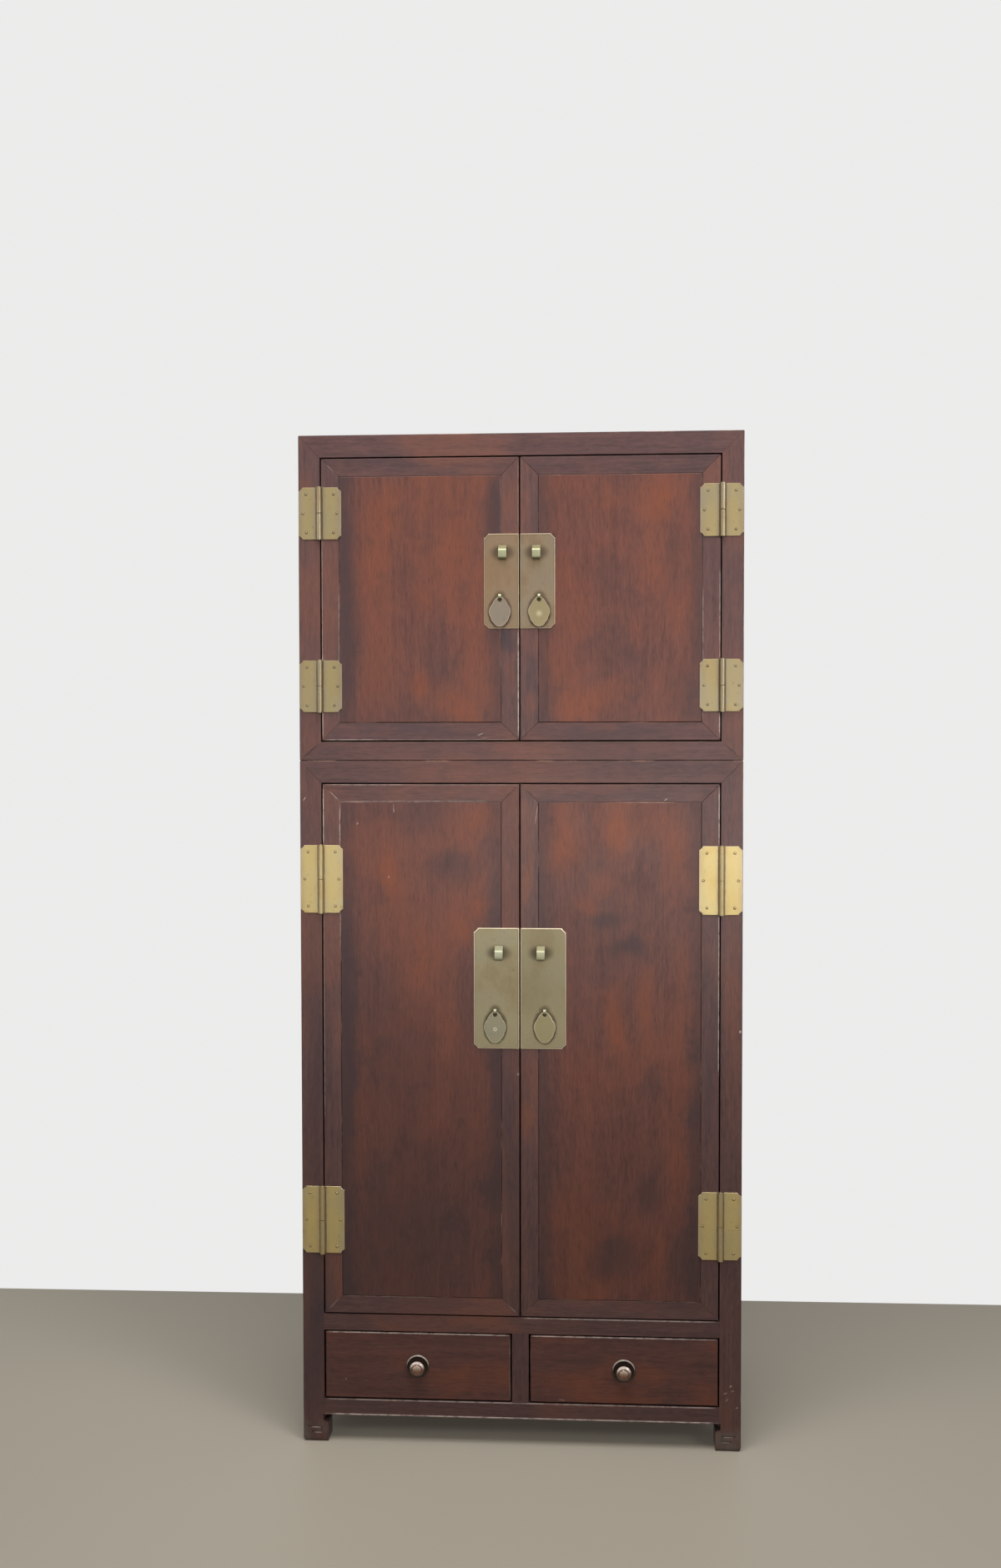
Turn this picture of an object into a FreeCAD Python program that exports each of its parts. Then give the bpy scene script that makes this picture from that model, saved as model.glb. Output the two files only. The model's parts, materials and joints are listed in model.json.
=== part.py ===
import FreeCAD, Part
import math
import os

# Tall hardwood cabinet in two pieces. A low chest with two doors stands loose on a
# taller case with two long doors over two drawers. Both cases are frames of square
# members, mitred on three faces at the corners, with floating boards in grooves.
# The doors hang on brass pin hinges nailed to the front, meet without a middle post
# and carry brass lock plates with staples for a bolt and lobed drop handles.
# Millimetres. +Z is up, the front faces -Y, and the origin is on the floor at the
# middle of the outline, knobs included. Left and right are as seen from the front.

Vec = FreeCAD.Vector
AXES = (0, 1, 2)
SIDES = {"left": -1, "right": 1}

# Overall size of the two cases
case_width = 750.0
case_depth = 420.0
lower_height = 1176.0
upper_height = 550.0

# Frame members
post_size = 36.5
head_rail_height = 37.5
upper_sill_height = 32.0
lower_sill_height = 28.0
bottom_rail_height = 28.0
rail_depth = 30.0
divider_width = 28.5
foot_clearance = 47.5
frame_arris = 1.2
head_stop_drop = 8.0

# Mortise and tenon joints of the plain rails
tenon_length = 14.0
tenon_thickness = 10.0
front_tenon_shoulder = 5.0
side_tenon_shoulder = 9.0
mortise_end_clearance = 0.5
divider_tenon = 8.0

# Hoof feet and their fret
hoof_height = 35.5
hoof_step = 6.5
hoof_top_slope = 3.0
leg_relief = 2.0
sole_cant = 3.0
sole_cant_height = 6.0
fret_width = 2.2
fret_depth = 1.2
fret_long = 24.0
fret_short = 18.0
fret_high_z = 26.3
fret_low_z = 17.3
fret_inner_margin = 10.0
bead_width = 2.4
bead_proud = 0.9
spandrel_radius = 6.0

# Boards of the two cases
board_thickness = 10.0
board_recess = 3.0
top_board_recess = 1.5
board_tongue = 6.5
groove_end_clearance = 0.5
floor_thickness = 12.0
floor_clearance = 0.5
shelf_top_z = 690.0
bearer_width = 15.0
bearer_height = 18.0

# Doors
door_gap = 2.5
door_thickness = 24.0
door_stop_clearance = 0.5
door_member = 30.0
door_arris = 1.5
panel_thickness = 12.0
panel_tongue_thickness = 6.0
panel_arris = 1.2
batten_width = 26.0
batten_thickness = 10.0
upper_batten_shares = (0.25, 0.8)
lower_batten_shares = (0.2, 0.5, 0.8)

# Pin hinges
leaf_thickness = 1.6
door_leaf_width = 37.5
frame_leaf_width = 35.0
leaf_corner = 6.0
leaf_notch = 1.5
upper_leaf_height = 87.5
lower_leaf_height = 115.5
upper_hinge_inset = 48.0
lower_hinge_inset = 104.0
barrel_radius = 4.6
barrel_wood_clearance = 0.2
barrel_side_clearance = 0.3
barrel_overhang = 1.0
knuckle_seam = 0.4
pin_radius = 1.8
pin_running_clearance = 0.08
pin_head_radius = 2.6
pin_head_height = 0.8
pivot_offset = 2.0

# Nails of the hinges
nail_shank = 1.6
nail_length = 12.0
nail_head_radius = 1.9
nail_head_height = 1.0
nail_crown_radius = 1.1
nail_sides = 6
nail_end_inset = 11.5
nail_edge_inset = 13.0
nail_middle_edge_inset = 7.0

# Lock plates
plate_thickness = 1.6
plate_corner = 6.6
plate_notch = 1.4
upper_plate_width = 58.5
upper_plate_height = 159.0
upper_plate_drop = 128.5
lower_plate_width = 77.0
lower_plate_height = 205.5
lower_plate_drop = 244.0

# Staples for the bolt of a padlock
staple_width = 13.8
staple_strap = 2.0
staple_reach = 13.5
staple_front_height = 16.0
staple_rise = 24.0
staple_bend = 4.5
staple_leg_width = 6.0
staple_clinch = 9.0
upper_staple_offset = 27.2
upper_staple_leg_offset = 25.5
lower_staple_offset = 34.3
lower_staple_leg_offset = 36.0
upper_staple_below_plate_top = 43.0
lower_staple_below_plate_top = 54.0

# Eyes and drop handles
eye_inner_radius = 2.8
eye_strap = 1.5
eye_width = 4.6
eye_shank_width = 3.0
eye_shank_height = 3.2
eye_clinch = 6.0
eye_standoff = 4.4
upper_eye_offset = 31.8
lower_eye_offset = 40.8
upper_eye_above_plate_bottom = 53.7
lower_eye_above_plate_bottom = 64.5
drop_thickness = 2.0
upper_drop_width = 36.0
upper_drop_height = 51.5
lower_drop_width = 36.8
lower_drop_height = 54.5
drop_hole_radius = 3.8
drop_hole_below_ring = 5.3
drop_head_rise = 1.0
head_bulge_width_share = 0.42
head_bulge_height_share = 0.13
upper_cusp_width_share = 0.75
upper_cusp_height_share = 0.30
widest_height_share = 0.50
lower_cusp_width_share = 0.84
lower_cusp_height_share = 0.72
foot_bulge_width_share = 0.75
foot_bulge_height_share = 0.81
foot_cusp_width_share = 0.57
foot_cusp_height_share = 0.88

# Drawers
drawer_front_height = 115.0
drawer_front_thickness = 20.0
drawer_arris = 1.5
drawer_side_height = 92.0
drawer_side_thickness = 9.0
drawer_side_inset = 1.0
drawer_bottom_thickness = 6.0
drawer_bottom_raise = 6.0
drawer_groove = 4.0
drawer_back_clearance = 1.0
runner_clearance = 0.3
runner_ledge = 19.0
runner_height = 18.0
guide_height = 20.0
guide_clearance = 0.5

# Turned knobs on round rosettes
rosette_radius = 20.0
rosette_thickness = 3.0
rosette_edge = 1.5
rosette_dish_radius = 16.5
rosette_dish_depth = 0.8
knob_radius = 12.5
knob_reach = 21.0
knob_neck_radius = 6.5
knob_neck_reach = 5.0
knob_flare_reach = 10.0
knob_rim_reach = 13.0
knob_step_radius = 9.6
knob_step_reach = 14.8
knob_dome_radius = 8.2
knob_tenon_radius = 5.0
knob_tenon_clearance = 0.06

# Sides of the small round forms, few enough to keep the model light
pin_sides = 12
knob_sides = 20
arc_steps = 6
bend_steps = 4

# One overrun for all cuts
overrun = 5.0

# Planes worked out from the sizes above
left_x = -case_width / 2
right_x = case_width / 2
front_y = -(case_depth - knob_reach) / 2
back_y = front_y + case_depth
total_height = lower_height + upper_height
opening_half = case_width / 2 - post_size
post_back_y = front_y + post_size
back_post_front_y = back_y - post_size
board_inner_x = case_width / 2 - board_recess - board_thickness
board_inner_y = back_y - board_recess - board_thickness
door_back_y = front_y + door_thickness + door_stop_clearance
bottom_rail_top = foot_clearance + bottom_rail_height
drawer_bottom_z = bottom_rail_top + door_gap
drawer_top_z = drawer_bottom_z + drawer_front_height
lower_sill_bottom = drawer_top_z + door_gap
lower_sill_top = lower_sill_bottom + lower_sill_height
lower_head_bottom = lower_height - head_rail_height
upper_sill_top = lower_height + upper_sill_height
upper_head_bottom = total_height - head_rail_height
pivot_x = opening_half - door_gap / 2 + pivot_offset
pivot_y = front_y - barrel_radius - barrel_wood_clearance
eye_y = front_y - plate_thickness - eye_standoff

# What the two storeys of doors have in common, with their own values
STOREYS = {
    "upper": {
        "z0": upper_sill_top + door_gap,
        "z1": upper_head_bottom - door_gap,
        "leaf_height": upper_leaf_height,
        "hinge_inset": upper_hinge_inset,
        "plate_width": upper_plate_width,
        "plate_height": upper_plate_height,
        "plate_drop": upper_plate_drop,
        "staple_offset": upper_staple_offset,
        "staple_leg_offset": upper_staple_leg_offset,
        "staple_leg_depth": door_thickness,
        "staple_drop": upper_staple_below_plate_top,
        "eye_offset": upper_eye_offset,
        "eye_raise": upper_eye_above_plate_bottom,
        "drop_width": upper_drop_width,
        "drop_height": upper_drop_height,
        "batten_shares": upper_batten_shares,
    },
    "lower": {
        "z0": lower_sill_top + door_gap,
        "z1": lower_head_bottom - door_gap,
        "leaf_height": lower_leaf_height,
        "hinge_inset": lower_hinge_inset,
        "plate_width": lower_plate_width,
        "plate_height": lower_plate_height,
        "plate_drop": lower_plate_drop,
        "staple_offset": lower_staple_offset,
        "staple_leg_offset": lower_staple_leg_offset,
        "staple_leg_depth": panel_thickness,
        "staple_drop": lower_staple_below_plate_top,
        "eye_offset": lower_eye_offset,
        "eye_raise": lower_eye_above_plate_bottom,
        "drop_width": lower_drop_width,
        "drop_height": lower_drop_height,
        "batten_shares": lower_batten_shares,
    },
}


# General shapes

def box(x0, x1, y0, y1, z0, z1):
    """A box between two values on each axis, given in either order."""
    low = Vec(min(x0, x1), min(y0, y1), min(z0, z1))
    return Part.makeBox(abs(x1 - x0), abs(y1 - y0), abs(z1 - z0), low)


def prism(points, along):
    """The polygon through 3D points, pushed along a vector."""
    corners = [Vec(*point) for point in points]
    return Part.Face(Part.makePolygon(corners + corners[:1])).extrude(Vec(*along))


def arc_points(start, through, end, steps):
    """Points along the arc through three points, without the last one."""
    arc = Part.Arc(Vec(*start), Vec(*through), Vec(*end)).toShape()
    return [tuple(point) for point in arc.discretize(steps + 1)[:-1]]


def rounded_corners(corners, radii):
    """Points of a flat outline whose corners are rounded by their radii."""
    count = len(corners)
    points = []
    for index in range(count):
        here = Vec(corners[index][0], corners[index][1], 0)
        if radii[index] == 0:
            points.append(tuple(here))
            continue
        before = Vec(corners[index - 1][0], corners[index - 1][1], 0)
        after_corner = corners[(index + 1) % count]
        after = Vec(after_corner[0], after_corner[1], 0)
        to_before = (before - here).normalize()
        to_after = (after - here).normalize()
        half_angle = to_before.getAngle(to_after) / 2
        radius = radii[index]
        run = radius / math.tan(half_angle)
        bisector = (to_before + to_after).normalize()
        start = here + to_before * run
        middle = here + bisector * (radius / math.sin(half_angle) - radius)
        end = here + to_after * run
        points += arc_points(start, middle, end, bend_steps) + [tuple(end)]
    return points


def ring_corners(centre, radius, sides, axis):
    """Corners of an even-sided ring around a line along one axis."""
    first, second = [other for other in AXES if other != axis]
    corners = []
    for index in range(sides):
        angle = 2 * math.pi * (index + 1 / 2) / sides
        corner = list(centre)
        corner[first] += radius * math.cos(angle)
        corner[second] += radius * math.sin(angle)
        corners.append(Vec(*corner))
    return corners


def bar(centre, radius, sides, axis, length):
    """A round bar with flat sides, from its centre along one axis."""
    corners = ring_corners(centre, radius, sides, axis)
    along = [0, 0, 0]
    along[axis] = length
    return Part.Face(Part.makePolygon(corners + corners[:1])).extrude(Vec(*along))


def turned(profile, x, z):
    """A turned form from its (radius, distance in front of the face) steps."""
    rings = []
    for radius, reach in profile:
        rings.append(ring_corners((x, front_y - reach, z), radius, knob_sides, 1))
    outlines = [rings[0], rings[-1]]
    for before, after in zip(rings, rings[1:]):
        for index in range(knob_sides):
            last = index - 1
            outlines.append([before[last], before[index], after[index], after[last]])
    faces = [Part.Face(Part.makePolygon(outline + outline[:1])) for outline in outlines]
    return Part.makeSolid(Part.makeShell(faces))


def edges_in_front(shape):
    """The edges of a board that lie in the front plane."""
    return [
        edge for edge in shape.Edges
        if all(abs(vertex.Point.y - front_y) < frame_arris / 2 for vertex in edge.Vertexes)
    ]


def cut_all(shape, tools):
    """Cut each tool from a shape."""
    for tool in tools:
        shape = shape.cut(tool)
    return shape


def group(solids):
    """Separate solids kept side by side in one node."""
    return Part.makeCompound(solids)


def grown(size, steps):
    """A box's six values moved out by a step on each side of each axis."""
    x0, x1, y0, y1, z0, z1 = size
    step_x, step_y, step_z = steps
    return (x0 - step_x, x1 + step_x, y0 - step_y, y1 + step_y, z0 - step_z, z1 + step_z)


# Mitred corners of the cases

def corner_wedges(corner, inward, block, axis):
    """What the two other members own of a three-way mitred corner block."""
    wedges = []
    for other in AXES:
        if other == axis:
            continue
        third = sum(AXES) - axis - other
        outline = []
        for axis_share, other_share in ((0, 0), (0, 1), (1, 1)):
            point = list(corner)
            point[axis] += inward[axis] * block[axis] * axis_share
            point[other] += inward[other] * block[other] * other_share
            outline.append(point)
        along = [0, 0, 0]
        along[third] = inward[third] * block[third]
        wedges.append(prism(outline, along))
    return wedges


def arris_cut(x, y, z, inward, axis, length):
    """The sliver taken off an outer edge that runs along one axis."""
    across = [other for other in AXES if other != axis]
    edge = [x, y, z]
    outline = [list(edge)]
    for other in across:
        point = list(edge)
        point[other] += inward[other] * frame_arris
        outline.append(point)
    along = [0, 0, 0]
    along[axis] = length
    return prism(outline, along)


def case_corner(side_x, side_y, z, up, rail_height):
    """Corner point, inward signs and block of one mitred corner of a case."""
    x = left_x if side_x < 0 else right_x
    y = front_y if side_y < 0 else back_y
    corner = (x, y, z)
    inward = (-side_x, -side_y, -up)
    return corner, inward, (post_size, post_size, rail_height)


def mitred_rail_x(side_y, z, up, height):
    """A front or back rail of a case, mitred into posts and side rails."""
    y0 = front_y if side_y < 0 else back_post_front_y
    z0 = z - height if up > 0 else z
    rail = box(left_x, right_x, y0, y0 + post_size, z0, z0 + height)
    for side_x in SIDES.values():
        rail = cut_all(rail, corner_wedges(*case_corner(side_x, side_y, z, up, height), 0))
    y = front_y if side_y < 0 else back_y
    return rail.cut(arris_cut(left_x, y, z, (0, -side_y, -up), 0, case_width))


def mitred_rail_y(side_x, z, up, height):
    """A side rail of a case, mitred into posts and the front and back rails."""
    x0 = left_x if side_x < 0 else opening_half
    z0 = z - height if up > 0 else z
    rail = box(x0, x0 + post_size, front_y, back_y, z0, z0 + height)
    for side_y in SIDES.values():
        rail = cut_all(rail, corner_wedges(*case_corner(side_x, side_y, z, up, height), 1))
    x = left_x if side_x < 0 else right_x
    return rail.cut(arris_cut(x, front_y, z, (-side_x, 0, -up), 1, case_depth))


def post(side_x, side_y, z0, z1, mitres):
    """A corner post, mitred at the ends that mitres lists as (z, up, rail height)."""
    x = left_x if side_x < 0 else right_x
    y = front_y if side_y < 0 else back_y
    shape = box(x, x - side_x * post_size, y, y - side_y * post_size, z0, z1)
    for z, up, height in mitres:
        corner = case_corner(side_x, side_y, z, up, height)
        shape = cut_all(shape, corner_wedges(*corner, 2))
    return shape


def post_arris(side_x, side_y, z0, z1):
    """The sliver off a post's outer upright edge."""
    x = left_x if side_x < 0 else right_x
    y = front_y if side_y < 0 else back_y
    return arris_cut(x, y, z0, (-side_x, -side_y, 0), 2, z1 - z0)


# Feet of the lower case

def hoof(side_x, side_y):
    """The foot block under a post, stepping inwards, with canted outer edges."""
    x = left_x if side_x < 0 else right_x
    y = front_y if side_y < 0 else back_y
    size = post_size + hoof_step
    block = box(x, x - side_x * size, y, y - side_y * size, 0, hoof_height)
    inner_x = x - side_x * size
    inner_y = y - side_y * size
    slope_x = [
        (inner_x, y, hoof_height),
        (inner_x + side_x * hoof_step, y, hoof_height),
        (inner_x, y, hoof_height - hoof_top_slope),
    ]
    slope_y = [
        (x, inner_y, hoof_height),
        (x, inner_y + side_y * hoof_step, hoof_height),
        (x, inner_y, hoof_height - hoof_top_slope),
    ]
    block = block.cut(prism(slope_x, (0, -side_y * size, 0)))
    return block.cut(prism(slope_y, (-side_x * size, 0, 0)))


def sole_cants(side_x, side_y):
    """The slivers off the outer lower edges of a foot."""
    x = left_x if side_x < 0 else right_x
    y = front_y if side_y < 0 else back_y
    size = post_size + hoof_step
    cant_x = [(x, y, 0), (x - side_x * sole_cant, y, 0), (x, y, sole_cant_height)]
    cant_y = [(x, y, 0), (x, y - side_y * sole_cant, 0), (x, y, sole_cant_height)]
    return [prism(cant_x, (0, -side_y * size, 0)), prism(cant_y, (-side_x * size, 0, 0))]


def leg_reliefs(side_x, side_y):
    """What is cut back from a leg's two inner faces between foot and rail."""
    inner_x = (left_x if side_x < 0 else right_x) - side_x * post_size
    inner_y = (front_y if side_y < 0 else back_y) - side_y * post_size
    z0 = hoof_height
    z1 = foot_clearance
    outer_x = inner_x + side_x * post_size
    outer_y = inner_y + side_y * post_size
    cut_x = box(inner_x, inner_x + side_x * leg_relief, outer_y, inner_y, z0, z1)
    cut_y = box(outer_x, inner_x, inner_y, inner_y + side_y * leg_relief, z0, z1)
    return [cut_x, cut_y]


def fret_cuts(side_x):
    """A squared scroll cut in the front and outer faces of a front foot."""
    x = left_x if side_x < 0 else right_x
    half = fret_width / 2
    cuts = []
    near = post_size + hoof_step - fret_inner_margin
    rows = (
        (near - fret_long, near, fret_high_z - half, fret_high_z + half),
        (near - fret_short, near, fret_low_z - half, fret_low_z + half),
        (near - fret_width, near, fret_low_z - half, fret_high_z + half),
    )
    for start, end, z0, z1 in rows:
        front_x0 = x - side_x * start
        front_x1 = x - side_x * end
        cuts.append(box(front_x0, front_x1, front_y, front_y + fret_depth, z0, z1))
        side_y0 = front_y + start
        side_y1 = front_y + end
        cuts.append(box(x, x - side_x * fret_depth, side_y0, side_y1, z0, z1))
    return cuts


# Boards and the grooves that hold them

def board_and_seat(size, tongue_axes):
    """A floating board and the grooved space that it sits in."""
    tongue = [board_tongue if axis in tongue_axes else 0 for axis in AXES]
    seat = [board_tongue + groove_end_clearance if axis in tongue_axes else 0 for axis in AXES]
    return box(*grown(size, tongue)), box(*grown(size, seat))


def side_board(side_x, z0, z1):
    """A side board between front and back posts and the rails above and below."""
    outer_x = side_x * (case_width / 2 - board_recess)
    inner_x = side_x * board_inner_x
    low_x = min(outer_x, inner_x)
    high_x = max(outer_x, inner_x)
    size = (low_x, high_x, post_back_y, back_post_front_y, z0, z1)
    return board_and_seat(size, (1, 2))


def back_board(z0, z1):
    """A back board between the back posts."""
    size = (-opening_half, opening_half, board_inner_y, back_y - board_recess, z0, z1)
    return board_and_seat(size, (0, 2))


def top_board(top_z):
    """A top board inside the mitred top frame of a case."""
    z1 = top_z - top_board_recess
    z0 = z1 - board_thickness
    size = (-opening_half, opening_half, post_back_y, back_post_front_y, z0, z1)
    return board_and_seat(size, (0, 1))


def notched_floor(z0, thickness):
    """A loose board that fills a case from the doors to the back, round the posts."""
    half = opening_half - floor_clearance
    wide_half = board_inner_x - floor_clearance
    y0 = door_back_y
    y1 = board_inner_y - floor_clearance
    narrow = box(-half, half, y0, y1, z0, z0 + thickness)
    wide_y0 = post_back_y + floor_clearance
    wide_y1 = back_post_front_y - floor_clearance
    wide = box(-wide_half, wide_half, wide_y0, wide_y1, z0, z0 + thickness)
    return narrow.fuse(wide).removeSplitter()


# Plain rails with tenons

def tenoned_rail_x(side_y, z0, z1, shoulder):
    """A rail between two posts with a tenon at each end, and its two mortises."""
    y = front_y if side_y < 0 else back_y
    rail = box(-opening_half, opening_half, y, y - side_y * rail_depth, z0, z1)
    middle_y = y - side_y * rail_depth / 2
    y0 = middle_y - tenon_thickness / 2
    y1 = middle_y + tenon_thickness / 2
    reach = opening_half + tenon_length
    tenons = box(-reach, reach, y0, y1, z0 + shoulder, z1 - shoulder)
    mortise_reach = reach + mortise_end_clearance
    mortises = box(-mortise_reach, mortise_reach, y0, y1, z0 + shoulder, z1 - shoulder)
    return rail.fuse(tenons).removeSplitter(), mortises


def tenoned_rail_y(side_x, z0, z1, shoulder):
    """A side rail between front and back posts with its tenons and mortises."""
    x = left_x if side_x < 0 else right_x
    rail = box(x, x - side_x * rail_depth, post_back_y, back_post_front_y, z0, z1)
    middle_x = x - side_x * rail_depth / 2
    x0 = middle_x - tenon_thickness / 2
    x1 = middle_x + tenon_thickness / 2
    y0 = post_back_y - tenon_length
    y1 = back_post_front_y + tenon_length
    tenons = box(x0, x1, y0, y1, z0 + shoulder, z1 - shoulder)
    mortise_y0 = y0 - mortise_end_clearance
    mortise_y1 = y1 + mortise_end_clearance
    mortises = box(x0, x1, mortise_y0, mortise_y1, z0 + shoulder, z1 - shoulder)
    return rail.fuse(tenons).removeSplitter(), mortises


def divider():
    """The short upright between the drawers, with a stub tenon up and down."""
    half = divider_width / 2
    y1 = front_y + rail_depth
    upright = box(-half, half, front_y, y1, bottom_rail_top, lower_sill_bottom)
    tenon_half = tenon_thickness / 2
    y_middle = front_y + rail_depth / 2
    tenon_y0 = y_middle - tenon_half
    tenon_y1 = y_middle + tenon_half
    z0 = bottom_rail_top - divider_tenon
    z1 = lower_sill_bottom + divider_tenon
    tenons = box(-tenon_half, tenon_half, tenon_y0, tenon_y1, z0, z1)
    end = mortise_end_clearance
    mortises = box(-tenon_half, tenon_half, tenon_y0, tenon_y1, z0 - end, z1 + end)
    return upright.fuse(tenons).removeSplitter(), mortises


def bead_and_spandrels():
    """The rounded bead on the bottom rail's lower edge and its curved ends."""
    rail_z = foot_clearance
    half = opening_half
    radius = spandrel_radius
    back = front_y + rail_depth
    pieces = []
    for side_x in SIDES.values():
        x = side_x * half
        share = 1 - math.sqrt(2) / 2
        low_end = (x, front_y, rail_z - radius)
        middle = (x - side_x * radius * share, front_y, rail_z - radius * share)
        inner_end = (x - side_x * radius, front_y, rail_z)
        outline = arc_points(low_end, middle, inner_end, bend_steps)
        outline += [inner_end, (x, front_y, rail_z)]
        pieces.append(prism(outline, (0, back - front_y, 0)))
    bead_centre_z = rail_z + bead_width / 2
    profile = [
        (-half, front_y, bead_centre_z + bead_width / 2),
        (-half, front_y - bead_proud, bead_centre_z + bead_width / 4),
        (-half, front_y - bead_proud, bead_centre_z - bead_width / 4),
        (-half, front_y, bead_centre_z - bead_width / 2),
    ]
    pieces.append(prism(profile, (2 * half, 0, 0)))
    return pieces


# Doors

def door_span(side_x):
    """The door's edges from its hinge side to its meeting side."""
    hinge_x = side_x * (opening_half - door_gap)
    meeting_x = side_x * door_gap / 2
    return min(hinge_x, meeting_x), max(hinge_x, meeting_x)


def door_frame(side_x, storey):
    """Two stiles and two rails, mitred, grooved for the panel, with its battens."""
    x0, x1 = door_span(side_x)
    z0 = storey["z0"]
    z1 = storey["z1"]
    y0 = front_y
    y1 = front_y + door_thickness
    blank = box(x0, x1, y0, y1, z0, z1)
    blank = blank.makeChamfer(door_arris, edges_in_front(blank))
    in_x0 = x0 + door_member
    in_x1 = x1 - door_member
    in_z0 = z0 + door_member
    in_z1 = z1 - door_member
    opening = (in_x0, in_x1, y0, y1, in_z0, in_z1)
    groove_y0 = y0 + panel_thickness - panel_tongue_thickness
    seat = board_tongue + groove_end_clearance
    groove = (in_x0, in_x1, groove_y0, y0 + panel_thickness, in_z0, in_z1)
    ring = blank.cut(box(*opening)).cut(box(*grown(groove, (seat, 0, seat))))
    thickness = (0, door_thickness, 0)
    low_left = (x0, y0, z0)
    high_left = (x0, y0, z1)
    low_right = (x1, y0, z0)
    high_right = (x1, y0, z1)
    inner_low_left = (in_x0, y0, in_z0)
    inner_high_left = (in_x0, y0, in_z1)
    inner_low_right = (in_x1, y0, in_z0)
    inner_high_right = (in_x1, y0, in_z1)
    shares = (
        (low_left, high_left, inner_high_left, inner_low_left),
        (low_right, high_right, inner_high_right, inner_low_right),
        (high_left, high_right, inner_high_right, inner_high_left),
        (low_left, low_right, inner_low_right, inner_low_left),
    )
    members = [ring.common(prism(outline, thickness)) for outline in shares]
    batten_y0 = y0 + panel_thickness
    for share in storey["batten_shares"]:
        z = z0 + (z1 - z0) * share
        half = batten_width / 2
        batten_y1 = batten_y0 + batten_thickness
        members.append(box(in_x0, in_x1, batten_y0, batten_y1, z - half, z + half))
    return members


def door_panel(side_x, storey):
    """The floating panel, flush in front, with a tongue all round."""
    x0, x1 = door_span(side_x)
    in_x0 = x0 + door_member
    in_x1 = x1 - door_member
    in_z0 = storey["z0"] + door_member
    in_z1 = storey["z1"] - door_member
    y1 = front_y + panel_thickness
    field = box(in_x0, in_x1, front_y, y1, in_z0, in_z1)
    field = field.makeChamfer(panel_arris, edges_in_front(field))
    tongue = (in_x0, in_x1, y1 - panel_tongue_thickness, y1, in_z0, in_z1)
    return field.fuse(box(*grown(tongue, (board_tongue, 0, board_tongue)))).removeSplitter()


# Brass plates with indented corners

def plate_outline(width, height, corner, notch):
    """Outline of a plate that is square at x = 0 and has cut corners at x = width."""
    return [
        (0, 0),
        (width - corner, 0),
        (width - corner, notch),
        (width - notch, corner),
        (width, corner),
        (width, height - corner),
        (width - notch, height - corner),
        (width - corner, height - notch),
        (width - corner, height),
        (0, height),
    ]


def plate(start_x, away, z0, size, corner, notch, thickness):
    """A flat brass plate on the front, running from start_x to the away side."""
    width, height = size
    outline = plate_outline(width, height, corner, notch)
    points = [(start_x + away * x, front_y - thickness, z0 + z) for x, z in outline]
    return prism(points, (0, thickness, 0))


# Hinges

def hinge_heights(storey):
    """The lower edges of a door's two hinges."""
    height = storey["leaf_height"]
    return storey["z0"] + storey["hinge_inset"], storey["z1"] - storey["hinge_inset"] - height


def barrel_part(x, z0, z1, radius):
    """A round bar on a hinge axis."""
    return bar((x, pivot_y, z0), radius, pin_sides, 2, z1 - z0)


def nail_places(start_x, away, z0, span):
    """The three nails of a leaf, as points on the front plane."""
    width, height = span
    end_x = start_x + away * (width - nail_edge_inset)
    middle_x = start_x + away * (width - nail_middle_edge_inset)
    return [
        (end_x, z0 + nail_end_inset),
        (middle_x, z0 + height / 2),
        (end_x, z0 + height - nail_end_inset),
    ]


def nail(x, z, plate_front_y):
    """A square brass nail with a low domed head, driven in from the front."""
    half = nail_shank / 2
    y1 = plate_front_y + nail_length
    crown_y = plate_front_y - nail_head_height
    shank = box(x - half, x + half, plate_front_y, y1, z - half, z + half)
    rings = []
    for radius, y in ((nail_head_radius, plate_front_y), (nail_crown_radius, crown_y)):
        corners = ring_corners((x, y, z), radius, nail_sides, 1)
        rings.append(Part.makePolygon(corners + corners[:1]))
    head = Part.makeLoft(rings, True, True)
    return head.fuse(shank).removeSplitter()


def nail_hole(x, z):
    """The square hole that a nail fills in plate and wood."""
    half = nail_shank / 2
    y0 = front_y - leaf_thickness
    return box(x - half, x + half, y0 - overrun, y0 + nail_length, z - half, z + half)


def hinge(side_x, storey, z0):
    """One hinge: door leaf, frame leaf, pin, door nails, frame nails."""
    height = storey["leaf_height"]
    x = side_x * pivot_x
    low = z0 - barrel_overhang
    high = z0 + height + barrel_overhang
    seam = z0 + height / 2
    half_seam = knuckle_seam / 2
    bore = barrel_part(x, low - overrun, high + overrun, pin_radius + pin_running_clearance)
    clear_radius = barrel_radius + barrel_side_clearance
    upper = (seam + half_seam, high)
    lower = (low, seam - half_seam)
    above = (seam - half_seam, high + overrun)
    below = (low - overrun, seam + half_seam)
    parts = {}
    for name, away, width, knuckle, clear in (
        ("door", -side_x, door_leaf_width, upper, below),
        ("frame", side_x, frame_leaf_width, lower, above),
    ):
        span = (width, height)
        leaf = plate(x, away, z0, span, leaf_corner, leaf_notch, leaf_thickness)
        leaf = leaf.cut(barrel_part(x, *clear, clear_radius))
        leaf = leaf.fuse(barrel_part(x, *knuckle, barrel_radius)).cut(bore)
        places = nail_places(x, away, z0, span)
        holes = [nail_hole(*place) for place in places]
        parts[name + "_leaf"] = cut_all(leaf, holes).removeSplitter()
        parts[name + "_nails"] = [nail(*place, front_y - leaf_thickness) for place in places]
        parts[name + "_holes"] = holes
    pin = barrel_part(x, low, high, pin_radius)
    head = barrel_part(x, high, high + pin_head_height, pin_head_radius)
    tail = barrel_part(x, low - pin_head_height, low, pin_head_radius)
    parts["pin"] = pin.fuse([head, tail]).removeSplitter()
    return parts


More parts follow.
